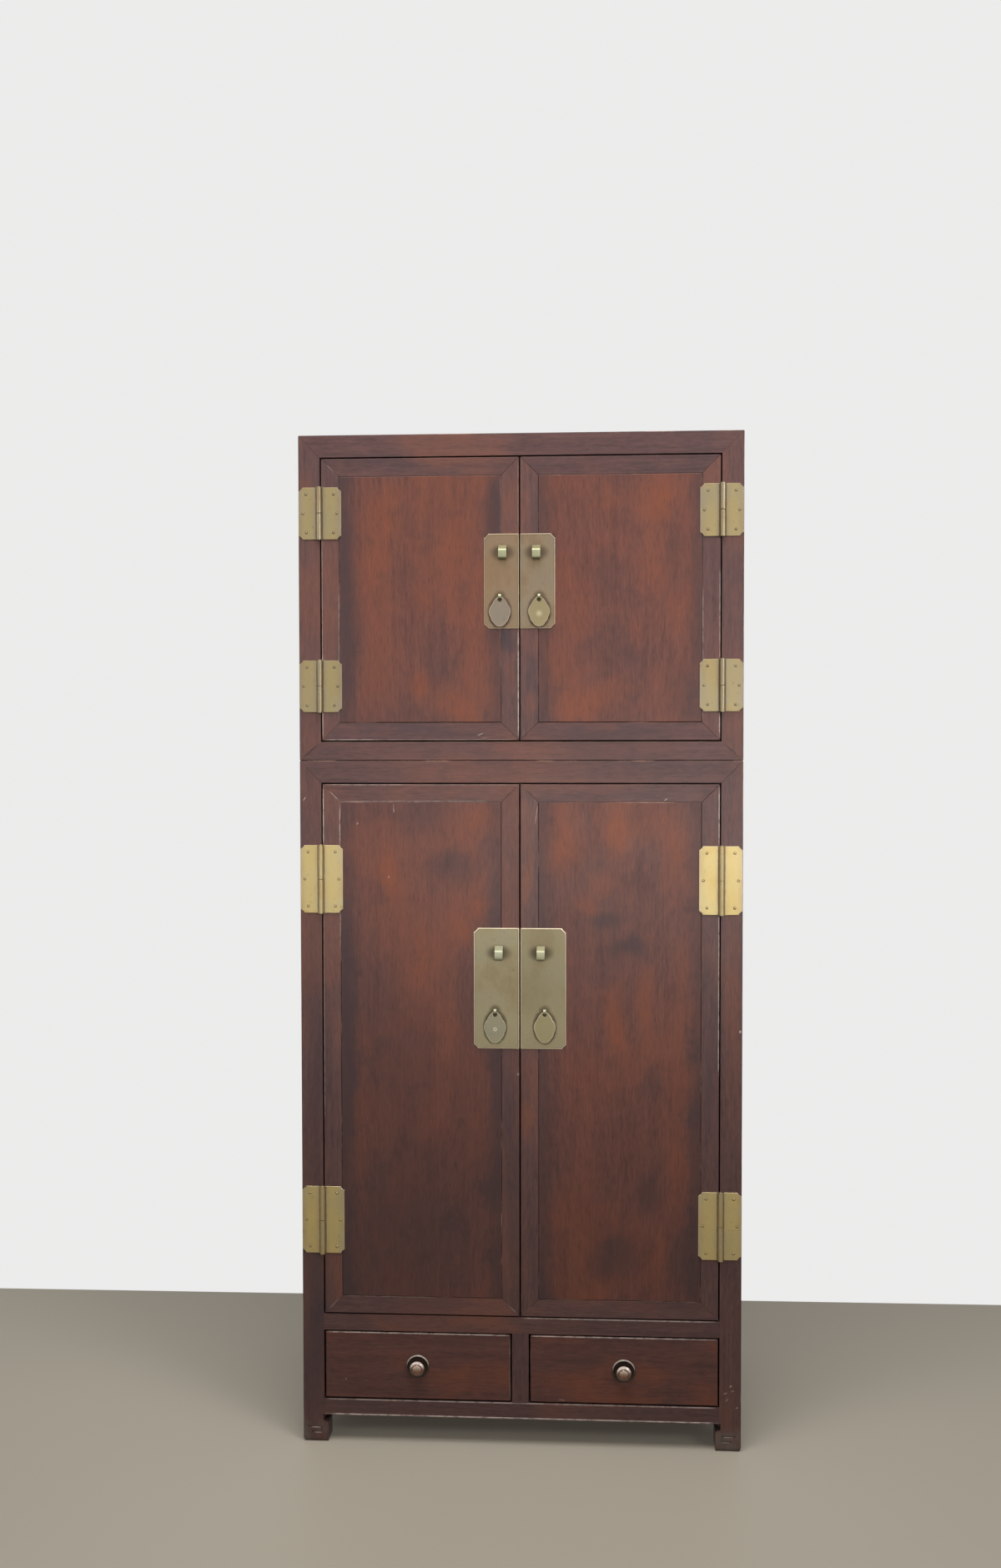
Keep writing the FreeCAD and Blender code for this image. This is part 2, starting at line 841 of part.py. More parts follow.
# Lock plates, staples, eyes and drop handles

def plate_top(storey):
    """Height of the upper edge of a storey's lock plates."""
    return storey["z1"] - storey["plate_drop"]


def staple_z(storey):
    """Height of the lower edge of a storey's staples."""
    return plate_top(storey) - storey["staple_drop"]


def eye_z(storey):
    """Height of the centre of a storey's eye rings."""
    return plate_top(storey) - storey["plate_height"] + storey["eye_raise"]


def staple_block(x, z, width, inset, reach_back):
    """The staple's outer form, or its hole when inset by the strap, from x on."""
    slope = (staple_rise - staple_front_height) / staple_reach
    lift = math.sqrt(1 + slope * slope) * inset
    front = staple_reach - inset
    radius = staple_bend - inset
    corners = (
        (-reach_back, inset),
        (front, inset),
        (front, staple_rise - slope * front - lift),
        (-reach_back, staple_rise + slope * reach_back - lift),
    )
    plate_y = front_y - plate_thickness
    outline = rounded_corners(corners, (0, radius, radius, 0))
    return prism([(x, plate_y - reach, z + rise) for reach, rise, _ in outline], (width, 0, 0))


def staple_legs(leg_x, z, depth):
    """The two legs of a staple behind the plate, clinched over at the back."""
    half = staple_leg_width / 2
    y0 = front_y - plate_thickness
    y1 = front_y + depth
    clinch_y1 = y1 + staple_strap
    legs = []
    for leg_z0, toward in ((z, -1), (z + staple_rise - staple_strap, 1)):
        leg_z1 = leg_z0 + staple_strap
        leg = box(leg_x - half, leg_x + half, y0, clinch_y1, leg_z0, leg_z1)
        clinch_start = leg_z0 if toward < 0 else leg_z1
        clinch_end = clinch_start + toward * staple_clinch
        clinch = box(leg_x - half, leg_x + half, y1, clinch_y1, clinch_start, clinch_end)
        legs.append((leg, clinch))
    return legs


def staple(side_x, storey):
    """A bent brass strap that the bolt of a padlock slides through along X."""
    x = side_x * (door_gap / 2 + storey["staple_offset"])
    leg_x = side_x * (door_gap / 2 + storey["staple_leg_offset"])
    z = staple_z(storey)
    start = x - staple_width / 2
    through = staple_width + 2 * overrun
    loop = staple_block(start, z, staple_width, 0, 0)
    loop = loop.cut(staple_block(start - overrun, z, through, staple_strap, overrun))
    leg_cuts = []
    for leg, clinch in staple_legs(leg_x, z, storey["staple_leg_depth"]):
        loop = loop.fuse([leg, clinch])
        leg_cuts.append(leg)
    return loop.removeSplitter(), leg_cuts


def eye(side_x, storey):
    """A brass cotter eye whose ring carries the drop handle."""
    x = side_x * (door_gap / 2 + storey["eye_offset"])
    z = eye_z(storey)
    start = x - eye_width / 2
    outer_radius = eye_inner_radius + eye_strap
    through = eye_width + 2 * overrun
    ring = bar((start, eye_y, z), outer_radius, pin_sides, 0, eye_width)
    inner = bar((start - overrun, eye_y, z), eye_inner_radius, pin_sides, 0, through)
    plate_y = front_y - plate_thickness
    half_x = eye_shank_width / 2
    half_z = eye_shank_height / 2
    y1 = front_y + panel_thickness
    shank_y0 = eye_y + eye_inner_radius + eye_strap / 2
    shank = box(x - half_x, x + half_x, shank_y0, y1 + eye_strap, z - half_z, z + half_z)
    shank_hole = box(x - half_x, x + half_x, plate_y, y1, z - half_z, z + half_z)
    reach = half_z + eye_clinch
    clinch = box(x - half_x, x + half_x, y1, y1 + eye_strap, z - reach, z + reach)
    body = ring.cut(inner).fuse([shank, clinch])
    return body.removeSplitter(), shank_hole


def drop_handle(side_x, storey):
    """A lobed brass drop that hangs on its eye and swings up about the ring."""
    x = side_x * (door_gap / 2 + storey["eye_offset"])
    hole_z = eye_z(storey) - drop_hole_below_ring
    top = eye_z(storey) + drop_head_rise
    half = storey["drop_width"] / 2
    height = storey["drop_height"]
    y0 = eye_y - drop_thickness / 2

    turns = (
        (0, 0),
        (head_bulge_width_share, head_bulge_height_share),
        (upper_cusp_width_share, upper_cusp_height_share),
        (1, widest_height_share),
        (lower_cusp_width_share, lower_cusp_height_share),
        (foot_bulge_width_share, foot_bulge_height_share),
        (foot_cusp_width_share, foot_cusp_height_share),
        (0, 1),
    )
    around = turns + tuple((-width, down) for width, down in reversed(turns[:-1]))
    places = [(x + half * width, y0, top - height * down) for width, down in around]
    outline = []
    for index in range(0, len(places) - 2, 2):
        outline += arc_points(*places[index:index + 3], arc_steps)
    body = prism(outline, (0, drop_thickness, 0))
    hole_start = (x, y0 - overrun, hole_z)
    hole_length = drop_thickness + 2 * overrun
    return body.cut(bar(hole_start, drop_hole_radius, pin_sides, 1, hole_length))


# Drawers

def drawer_span(side_x):
    """The drawer front's edges."""
    outer = side_x * (opening_half - door_gap)
    inner = side_x * (divider_width / 2 + door_gap)
    return min(outer, inner), max(outer, inner)


def drawer(side_x):
    """Front, four walls and bottom of a drawer."""
    x0, x1 = drawer_span(side_x)
    z0 = drawer_bottom_z
    z1 = drawer_top_z
    front_back_y = front_y + drawer_front_thickness
    front_board = box(x0, x1, front_y, front_back_y, z0, z1)
    front_board = front_board.makeChamfer(drawer_arris, edges_in_front(front_board))
    in_x0 = x0 + drawer_side_inset
    in_x1 = x1 - drawer_side_inset
    end_y = board_inner_y - drawer_back_clearance
    wall = drawer_side_thickness
    side_z1 = z0 + drawer_side_height
    bottom_z0 = z0 + drawer_bottom_raise
    bottom = box(
        in_x0 + wall - drawer_groove, in_x1 - wall + drawer_groove,
        front_back_y - drawer_groove, end_y - wall + drawer_groove,
        bottom_z0, bottom_z0 + drawer_bottom_thickness,
    )
    walls = [
        box(in_x0, in_x0 + wall, front_back_y, end_y, z0, side_z1),
        box(in_x1 - wall, in_x1, front_back_y, end_y, z0, side_z1),
        box(in_x0 + wall, in_x1 - wall, end_y - wall, end_y, z0, side_z1),
    ]
    walls = [part.cut(bottom) for part in walls]
    return front_board.cut(bottom), walls + [bottom]


def knob_place(side_x):
    """Centre of a drawer's knob."""
    x0, x1 = drawer_span(side_x)
    return (x0 + x1) / 2, (drawer_bottom_z + drawer_top_z) / 2


def knob(side_x):
    """A turned knob with a stepped rim, glued in the drawer front."""
    x, z = knob_place(side_x)
    face = rosette_thickness - rosette_dish_depth
    profile = [
        (knob_tenon_radius, -drawer_front_thickness),
        (knob_tenon_radius, face),
        (knob_neck_radius, face),
        (knob_neck_radius, knob_neck_reach),
        (knob_radius, knob_flare_reach),
        (knob_radius, knob_rim_reach),
        (knob_step_radius, knob_step_reach),
        (knob_dome_radius, (knob_step_reach + 2 * knob_reach) / 3),
        (knob_dome_radius / 2, knob_reach),
    ]
    return turned(profile, x, z)


def rosette(side_x):
    """The round dished base under a knob."""
    x, z = knob_place(side_x)
    profile = [
        (rosette_radius, 0),
        (rosette_radius, rosette_thickness - rosette_edge),
        (rosette_radius - rosette_edge, rosette_thickness),
        (rosette_dish_radius, rosette_thickness),
        (rosette_dish_radius - rosette_edge, rosette_thickness - rosette_dish_depth),
    ]
    return turned(profile, x, z).cut(knob_hole(side_x))


def knob_hole(side_x):
    """The hole for a knob's tenon through the drawer front."""
    x, z = knob_place(side_x)
    radius = knob_tenon_radius + knob_tenon_clearance
    start = (x, front_y - overrun, z)
    return bar(start, radius, knob_sides, 1, drawer_front_thickness + 2 * overrun)


def side_runner(side_x):
    """The ledge and guide that carry a drawer's outer side."""
    rail_inner = side_x * (case_width / 2 - rail_depth)
    guide = side_x * (opening_half - door_gap - drawer_side_inset + guide_clearance)
    ledge = side_x * (opening_half - runner_ledge)
    top = drawer_bottom_z - runner_clearance
    low = top - runner_height
    high = top + guide_height
    outline = [
        (rail_inner, post_back_y, low),
        (ledge, post_back_y, low),
        (ledge, post_back_y, top),
        (guide, post_back_y, top),
        (guide, post_back_y, high),
        (rail_inner, post_back_y, high),
    ]
    return prism(outline, (0, back_post_front_y - post_back_y, 0))


def middle_runner():
    """The ledges and guide that carry both drawers' inner sides."""
    guide = divider_width / 2 + door_gap + drawer_side_inset - guide_clearance
    ledge = divider_width / 2 + runner_ledge
    y0 = front_y + rail_depth
    y1 = back_y - rail_depth
    top = drawer_bottom_z - runner_clearance
    low = top - runner_height
    high = top + guide_height
    base = box(-ledge, ledge, y0, y1, low, top)
    return base.fuse(box(-guide, guide, y0, y1, top, high)).removeSplitter()


def bearers():
    """Strips between the posts that the case floor and the shelf lie on."""
    strips = []
    for top in (lower_sill_top, shelf_top_z - floor_thickness):
        z0 = top - bearer_height
        for side_x in SIDES.values():
            inner = side_x * (board_inner_x - bearer_width)
            outer = side_x * board_inner_x
            strips.append(box(inner, outer, post_back_y, back_post_front_y, z0, top))
    y0 = board_inner_y - bearer_width
    z0 = lower_sill_top - bearer_height
    strips.append(box(-opening_half, opening_half, y0, board_inner_y, z0, lower_sill_top))
    return strips


# Assembly of all nodes

nodes = {}

# Hinges of both storeys, with the holes that their nails fill
hinge_sets = {}
for storey_name, storey in STOREYS.items():
    for side_name, side_x in SIDES.items():
        hinge_sets[storey_name, side_name] = [
            hinge(side_x, storey, z0) for z0 in hinge_heights(storey)
        ]


def gathered(storey_name, side_names, key):
    """Collect one kind of hinge piece from the named sides of a storey."""
    found = []
    for side_name in side_names:
        for parts in hinge_sets[storey_name, side_name]:
            piece = parts[key]
            found += piece if isinstance(piece, list) else [piece]
    return found


# Boards of the lower case and the grooves for them
lower_boards = {
    side_name: side_board(side_x, bottom_rail_top, lower_head_bottom)
    for side_name, side_x in SIDES.items()
}
lower_back, lower_back_seat = back_board(bottom_rail_top, lower_head_bottom)
lower_top, lower_top_seat = top_board(lower_height)
lower_seats = [lower_boards["left"][1], lower_boards["right"][1], lower_back_seat]

# Plain rails of the lower case
sill, sill_mortises = tenoned_rail_x(-1, lower_sill_bottom, lower_sill_top, front_tenon_shoulder)
bottom_rail, bottom_mortises = tenoned_rail_x(
    -1, foot_clearance, bottom_rail_top, front_tenon_shoulder
)
back_rail, back_mortises = tenoned_rail_x(1, foot_clearance, bottom_rail_top, side_tenon_shoulder)
side_rails = {}
mortises = [sill_mortises, bottom_mortises, back_mortises]
for side_name, side_x in SIDES.items():
    rail, rail_mortises = tenoned_rail_y(
        side_x, foot_clearance, bottom_rail_top, side_tenon_shoulder
    )
    side_rails[side_name] = rail.cut(lower_boards[side_name][1])
    mortises.append(rail_mortises)
divider_piece, divider_mortises = divider()

# Posts of the lower case
lower_mitre = [(lower_height, 1, head_rail_height)]
lower_posts = {}
for side_name, side_x in SIDES.items():
    for place, side_y in (("front", -1), ("back", 1)):
        shape = post(side_x, side_y, 0, lower_height, lower_mitre)
        shape = shape.fuse(hoof(side_x, side_y)).removeSplitter()
        cuts = [post_arris(side_x, side_y, 0, lower_height)]
        cuts += sole_cants(side_x, side_y) + leg_reliefs(side_x, side_y)
        cuts += lower_seats + mortises
        if place == "front":
            cuts += fret_cuts(side_x) + gathered("lower", [side_name], "frame_holes")
        lower_posts[place, side_name] = cut_all(shape, cuts)
nodes["lower_front_left_post"] = lower_posts["front", "left"]
nodes["lower_front_right_post"] = lower_posts["front", "right"]

head_back = mitred_rail_x(1, lower_height, 1, head_rail_height)
head_back = cut_all(head_back, [lower_back_seat, lower_top_seat])
nodes["lower_back_frame"] = group([
    lower_posts["back", "left"],
    lower_posts["back", "right"],
    head_back,
    back_rail.cut(lower_back_seat),
])

stop_y1 = post_back_y
lower_stop = box(
    -opening_half, opening_half, door_back_y, stop_y1,
    lower_head_bottom - head_stop_drop, lower_head_bottom,
)
head_front = mitred_rail_x(-1, lower_height, 1, head_rail_height)
head_front = head_front.fuse(lower_stop).removeSplitter()
nodes["lower_top_front_rail"] = head_front.cut(lower_top_seat)

lower_side_rails = []
for side_name, side_x in SIDES.items():
    rail = mitred_rail_y(side_x, lower_height, 1, head_rail_height)
    lower_side_rails.append(cut_all(rail, [lower_boards[side_name][1], lower_top_seat]))
    lower_side_rails.append(side_rails[side_name])
nodes["lower_side_rails"] = group(lower_side_rails)
nodes["lower_top_board"] = lower_top
nodes["door_sill_rail"] = sill.cut(divider_mortises)
bottom_rail = bottom_rail.fuse(bead_and_spandrels()).removeSplitter()
nodes["bottom_front_rail"] = bottom_rail.cut(divider_mortises)
nodes["drawer_divider"] = divider_piece
nodes["lower_side_boards"] = group([lower_boards["left"][0], lower_boards["right"][0]])
nodes["lower_back_board"] = lower_back
nodes["case_floor"] = notched_floor(lower_sill_top, floor_thickness)
nodes["shelf"] = notched_floor(shelf_top_z - floor_thickness, floor_thickness)
nodes["board_bearers"] = group(bearers())
runners = [side_runner(side_x) for side_x in SIDES.values()]
nodes["drawer_runners"] = group(runners + [middle_runner()])

# Upper case
upper_boards = {
    side_name: side_board(side_x, upper_sill_top, upper_head_bottom)
    for side_name, side_x in SIDES.items()
}
upper_back, upper_back_seat = back_board(upper_sill_top, upper_head_bottom)
upper_top, upper_top_seat = top_board(total_height)
upper_seats = [upper_boards["left"][1], upper_boards["right"][1], upper_back_seat]
upper_mitres = [
    (total_height, 1, head_rail_height),
    (lower_height, -1, upper_sill_height),
]
upper_posts = {}
for side_name, side_x in SIDES.items():
    for place, side_y in (("front", -1), ("back", 1)):
        shape = post(side_x, side_y, lower_height, total_height, upper_mitres)
        cuts = [post_arris(side_x, side_y, lower_height, total_height)] + upper_seats
        if place == "front":
            cuts += gathered("upper", [side_name], "frame_holes")
        upper_posts[place, side_name] = cut_all(shape, cuts)
nodes["upper_front_left_post"] = upper_posts["front", "left"]
nodes["upper_front_right_post"] = upper_posts["front", "right"]
upper_head_back = mitred_rail_x(1, total_height, 1, head_rail_height)
upper_sill_back = mitred_rail_x(1, lower_height, -1, upper_sill_height)
nodes["upper_back_frame"] = group([
    upper_posts["back", "left"],
    upper_posts["back", "right"],
    cut_all(upper_head_back, [upper_back_seat, upper_top_seat]),
    upper_sill_back.cut(upper_back_seat),
])
upper_stop = box(
    -opening_half, opening_half, door_back_y, stop_y1,
    upper_head_bottom - head_stop_drop, upper_head_bottom,
)
upper_head_front = mitred_rail_x(-1, total_height, 1, head_rail_height)
upper_head_front = upper_head_front.fuse(upper_stop).removeSplitter()
nodes["upper_top_front_rail"] = upper_head_front.cut(upper_top_seat)
nodes["upper_bottom_front_rail"] = mitred_rail_x(-1, lower_height, -1, upper_sill_height)
upper_side_rails = []
for side_name, side_x in SIDES.items():
    head = mitred_rail_y(side_x, total_height, 1, head_rail_height)
    foot = mitred_rail_y(side_x, lower_height, -1, upper_sill_height)
    seat = upper_boards[side_name][1]
    upper_side_rails += [cut_all(head, [seat, upper_top_seat]), foot.cut(seat)]
nodes["upper_side_rails"] = group(upper_side_rails)
nodes["upper_top_board"] = upper_top
nodes["upper_floor_board"] = notched_floor(upper_sill_top, floor_thickness)
nodes["upper_side_boards"] = group([upper_boards["left"][0], upper_boards["right"][0]])
nodes["upper_back_board"] = upper_back

# Hinge pieces that stay on the cases
for storey_name in STOREYS:
    leaves = gathered(storey_name, SIDES, "frame_leaf")
    pins = gathered(storey_name, SIDES, "pin")
    nodes[storey_name + "_frame_hinges"] = group(leaves + pins)
    nodes[storey_name + "_frame_nails"] = group(gathered(storey_name, SIDES, "frame_nails"))

# Doors with their brass
for storey_name, storey in STOREYS.items():
    for side_name, side_x in SIDES.items():
        prefix = storey_name + "_" + side_name + "_"
        staple_piece, leg_holes = staple(side_x, storey)
        eye_piece, shank_hole = eye(side_x, storey)
        fitting_holes = leg_holes + [shank_hole]
        holes = gathered(storey_name, [side_name], "door_holes")
        members = door_frame(side_x, storey)
        members = [cut_all(member, holes + fitting_holes) for member in members]
        nodes[prefix + "door_frame"] = group(members)
        panel = door_panel(side_x, storey)
        nodes[prefix + "door_panel"] = cut_all(panel, holes + fitting_holes)
        leaves = gathered(storey_name, [side_name], "door_leaf")
        nails = gathered(storey_name, [side_name], "door_nails")
        nodes[prefix + "door_leaves"] = group(leaves + nails)
        plate_size = (storey["plate_width"], storey["plate_height"])
        plate_z0 = plate_top(storey) - storey["plate_height"]
        plate_cut = (plate_corner, plate_notch, plate_thickness)
        lock_plate = plate(side_x * door_gap / 2, side_x, plate_z0, plate_size, *plate_cut)
        nodes[prefix + "lock_plate"] = cut_all(lock_plate, fitting_holes)
        nodes[prefix + "staple_and_eye"] = group([staple_piece, eye_piece])
        nodes[prefix + "drop_handle"] = drop_handle(side_x, storey)

# Drawers
for side_name, side_x in SIDES.items():
    front_board, box_parts = drawer(side_x)
    nodes[side_name + "_drawer_front"] = front_board.cut(knob_hole(side_x))
    nodes[side_name + "_drawer_box"] = group(box_parts)
    nodes[side_name + "_drawer_knob"] = group([knob(side_x), rosette(side_x)])

os.makedirs("parts", exist_ok=True)
for name, shape in nodes.items():
    shape.exportStep("parts/" + name + ".step")
    solids = shape.Solids
    volume = sum(solid.Volume for solid in solids)
    print(name, len(solids), "solids", round(volume / 1000, 1), "cm3", shape.isValid())
print(len(nodes), "nodes")
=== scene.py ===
"""A lacquered two-part kang cabinet with brass fittings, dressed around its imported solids."""

import json
import math

import bmesh
import bpy
from mathutils import Matrix, Vector

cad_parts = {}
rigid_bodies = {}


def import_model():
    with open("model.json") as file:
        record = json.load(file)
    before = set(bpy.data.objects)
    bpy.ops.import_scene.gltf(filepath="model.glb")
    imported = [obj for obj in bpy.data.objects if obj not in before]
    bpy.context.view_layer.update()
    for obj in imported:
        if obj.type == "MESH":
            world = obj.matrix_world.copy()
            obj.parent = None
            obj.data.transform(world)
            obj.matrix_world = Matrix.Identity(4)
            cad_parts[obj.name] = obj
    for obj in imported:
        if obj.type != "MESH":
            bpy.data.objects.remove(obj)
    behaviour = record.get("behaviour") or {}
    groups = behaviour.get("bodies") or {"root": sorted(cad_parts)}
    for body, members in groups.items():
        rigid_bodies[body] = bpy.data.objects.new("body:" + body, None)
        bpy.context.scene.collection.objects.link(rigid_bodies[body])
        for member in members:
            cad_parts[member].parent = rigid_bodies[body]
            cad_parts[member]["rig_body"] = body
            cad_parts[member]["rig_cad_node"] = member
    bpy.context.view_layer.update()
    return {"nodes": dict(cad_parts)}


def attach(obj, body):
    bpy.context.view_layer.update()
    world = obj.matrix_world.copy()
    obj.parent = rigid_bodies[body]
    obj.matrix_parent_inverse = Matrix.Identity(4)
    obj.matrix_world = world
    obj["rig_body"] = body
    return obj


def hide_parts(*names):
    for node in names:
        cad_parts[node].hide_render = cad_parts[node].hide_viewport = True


bl_info = {
    "name": "Kang Cabinet",
    "version": (1, 0, 0),
    "blender": (4, 5, 0),
    "location": "3D View > Sidebar > Kang Cabinet",
    "description": "Dresses the cabinet's solids in lacquered wood and aged brass",
    "category": "Object",
}

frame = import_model()

MM = 0.001
FRONT = -199.5 * MM
SIDES = {"left": -1, "right": 1}
STOREYS = ("upper", "lower")

# How close corners are to merge, how flat faces are to join, and how straight ahead they face
TURNED_WELD = 0.000002
SHEET_WELD = 0.000005
SOLID_WELD = 0.00001
ONE_PLANE = math.radians(0.5)
FACING = 0.99


def each_door():
    """Each door's storey, name and side, which is -1 on the left."""
    for storey in STOREYS:
        for side_name, side in SIDES.items():
            yield storey, f"{storey}_{side_name}", side


# Editing helpers


def deselect():
    """Clears the selection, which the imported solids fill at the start."""
    for item in list(bpy.context.selected_objects):
        item.select_set(False)


def choose(*pieces):
    """Selects pieces and makes the first one active."""
    deselect()
    for piece in pieces:
        piece.select_set(True)
    bpy.context.view_layer.objects.active = pieces[0]


def open_mesh(piece):
    """Opens a piece for editing, with all of it selected."""
    choose(piece)
    bpy.ops.object.mode_set(mode="EDIT")
    bpy.ops.mesh.select_all(action="SELECT")


def close_mesh():
    """Goes back to the whole piece."""
    bpy.ops.object.mode_set(mode="OBJECT")


def pick_vertices(piece, wanted):
    """Selects the vertices of an open mesh for which wanted(place) is true."""
    bpy.ops.mesh.select_all(action="DESELECT")
    bpy.ops.mesh.select_mode(type="VERT")
    mesh = bmesh.from_edit_mesh(piece.data)
    for vertex in mesh.verts:
        vertex.select = wanted(vertex.co)
    mesh.select_flush(True)
    bmesh.update_edit_mesh(piece.data)


def named(piece, name):
    """Names a piece and its mesh."""
    piece.name = name
    piece.data.name = name
    return piece


def settle(piece, name):
    """Puts a new piece's place in its mesh and names it."""
    choose(piece)
    bpy.ops.object.transform_apply(location=True, rotation=True, scale=True)
    return named(piece, name)


def join(name, pieces):
    """Joins pieces into one, which takes the name."""
    choose(*pieces)
    if len(pieces) > 1:
        bpy.ops.object.join()
    return named(bpy.context.object, name)


def smooth(piece, degrees=35):
    """Shades a piece smooth, with its sharp edges kept."""
    choose(piece)
    bpy.ops.object.shade_smooth_by_angle(angle=math.radians(degrees))


def soften(piece, width, segments=2, degrees=20):
    """Rounds a piece's sharp edges a little."""
    smooth(piece, 40)
    bevel = piece.modifiers.new("Softened edges", "BEVEL")
    bevel.width = width
    bevel.segments = segments
    bevel.limit_method = "ANGLE"
    bevel.angle_limit = math.radians(degrees)
    bevel.use_clamp_overlap = True
    bevel.harden_normals = True
    bpy.ops.object.modifier_apply(modifier=bevel.name)


def block(name, low, high):
    """A block between two corners."""
    low, high = Vector(low), Vector(high)
    bpy.ops.mesh.primitive_cube_add(size=1, location=(low + high) / 2)
    piece = bpy.context.object
    piece.scale = high - low
    return settle(piece, name)


AXES = {
    "x": (Vector((1, 0, 0)), (0, math.radians(90), 0)),
    "front": (Vector((0, -1, 0)), (math.radians(90), 0, 0)),
    "z": (Vector((0, 0, 1)), (0, 0, 0)),
}


def turned(name, start, axis, rings, sides):
    """A turned form, drawn out along an axis from (radius, reach) pairs in millimetres."""
    direction, turn = AXES[axis]
    start = Vector(start)
    rings = [(radius * MM, reach * MM) for radius, reach in rings]
    radius, reach = rings[0]
    bpy.ops.mesh.primitive_circle_add(
        vertices=sides,
        radius=radius,
        fill_type="NGON",
        location=start + direction * reach,
        rotation=turn,
    )
    piece = settle(bpy.context.object, name)
    open_mesh(piece)
    for next_radius, next_reach in rings[1:]:
        move = {"value": direction * (next_reach - reach)}
        bpy.ops.mesh.extrude_region_move(TRANSFORM_OT_translate=move)
        ratio = next_radius / radius
        growth = [1 if part else ratio for part in direction]
        centre = start + direction * next_reach
        bpy.ops.transform.resize(value=growth, center_override=centre)
        radius, reach = next_radius, next_reach
    bpy.ops.mesh.select_all(action="SELECT")
    bpy.ops.mesh.remove_doubles(threshold=TURNED_WELD)
    bpy.ops.mesh.normals_make_consistent(inside=False)
    close_mesh()
    smooth(piece)
    return piece


def cut_sheet(name, outlines, front, thickness, edge):
    """Sheet metal cut to flat outlines that stand on the front, with eased edges."""
    bpy.ops.curve.primitive_bezier_curve_add(location=(0, 0, 0))
    piece = bpy.context.object
    shape = piece.data
    shape.splines.clear()
    shape.dimensions = "2D"
    shape.fill_mode = "BOTH"
    shape.extrude = thickness / 2
    for outline in outlines:
        spline = shape.splines.new("POLY")
        spline.points.add(len(outline) - 1)
        for point, (x, z) in zip(spline.points, outline):
            point.co = (x, z, 0, 1)
        spline.use_cyclic_u = True
    choose(piece)
    bpy.ops.object.convert(target="MESH")
    piece = bpy.context.object
    piece.rotation_euler = (math.radians(90), 0, 0)
    piece.location = (0, front + thickness / 2, 0)
    settle(piece, name)
    open_mesh(piece)
    bpy.ops.mesh.remove_doubles(threshold=SHEET_WELD)
    bpy.ops.mesh.dissolve_limited(angle_limit=ONE_PLANE)
    bpy.ops.mesh.normals_make_consistent(inside=False)
    close_mesh()
    soften(piece, edge, 2, 40)
    return piece


def rim_faces(piece, width, finish, hole, reach):
    """Gives a strip round a sheet's outer edge a finish of its own, clear of its hole."""
    piece.data.materials.append(bpy.data.materials[finish])
    open_mesh(piece)
    bpy.ops.mesh.select_all(action="DESELECT")
    bpy.ops.mesh.select_mode(type="FACE")
    mesh = bmesh.from_edit_mesh(piece.data)
    for face in mesh.faces:
        middle = face.calc_center_median()
        near = math.hypot(middle.x - hole[0], middle.z - hole[1]) < reach
        face.select = abs(face.normal.y) > FACING or near
    bmesh.update_edit_mesh(piece.data)
    bpy.ops.mesh.inset(thickness=width)
    mesh = bmesh.from_edit_mesh(piece.data)
    for face in mesh.faces:
        if face.normal.y < -FACING and not face.select:
            face.material_index = 1
    bmesh.update_edit_mesh(piece.data)
    close_mesh()


def copy_of(node, name):
    """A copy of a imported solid, merged and cleaned, as a new piece."""
    piece = frame["nodes"][node].copy()
    piece.data = piece.data.copy()
    bpy.context.scene.collection.objects.link(piece)
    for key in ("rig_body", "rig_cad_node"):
        del piece[key]
    piece.parent = None
    piece.matrix_world = Matrix.Identity(4)
    open_mesh(named(piece, name))
    bpy.ops.mesh.customdata_custom_splitnormals_clear()
    bpy.ops.mesh.remove_doubles(threshold=SOLID_WELD)
    bpy.ops.mesh.dissolve_limited(angle_limit=ONE_PLANE)
    close_mesh()
    return piece


def body_of(node):
    """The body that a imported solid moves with."""
    return frame["nodes"][node]["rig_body"]


def stand_for(piece, node):
    """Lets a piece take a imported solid's place on its body."""
    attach(piece, body_of(node))
    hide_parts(node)


def paint(piece, finish):
    """Gives a piece one of the finishes that make_materials made."""
    piece.data.materials.clear()
    piece.data.materials.append(bpy.data.materials[finish])


def repaint(node, finish):
    """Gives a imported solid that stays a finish, on the object's own slot."""
    for place in frame["nodes"][node].material_slots:
        place.link = "OBJECT"
        place.material = bpy.data.materials[finish]


def eased(node, edge, finish):
    """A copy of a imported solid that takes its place, with eased arrises."""
    piece = copy_of(node, node + "_eased")
    soften(piece, edge)
    paint(piece, finish)
    stand_for(piece, node)
    return piece


# Shader helpers


def operator_pair(operation):
    """A Python operator and its reflected form, each of which adds one Math node."""

    def plain(self, other):
        return self.maths(operation, self, other)

    def reflected(self, other):
        return self.maths(operation, other, self)

    return plain, reflected


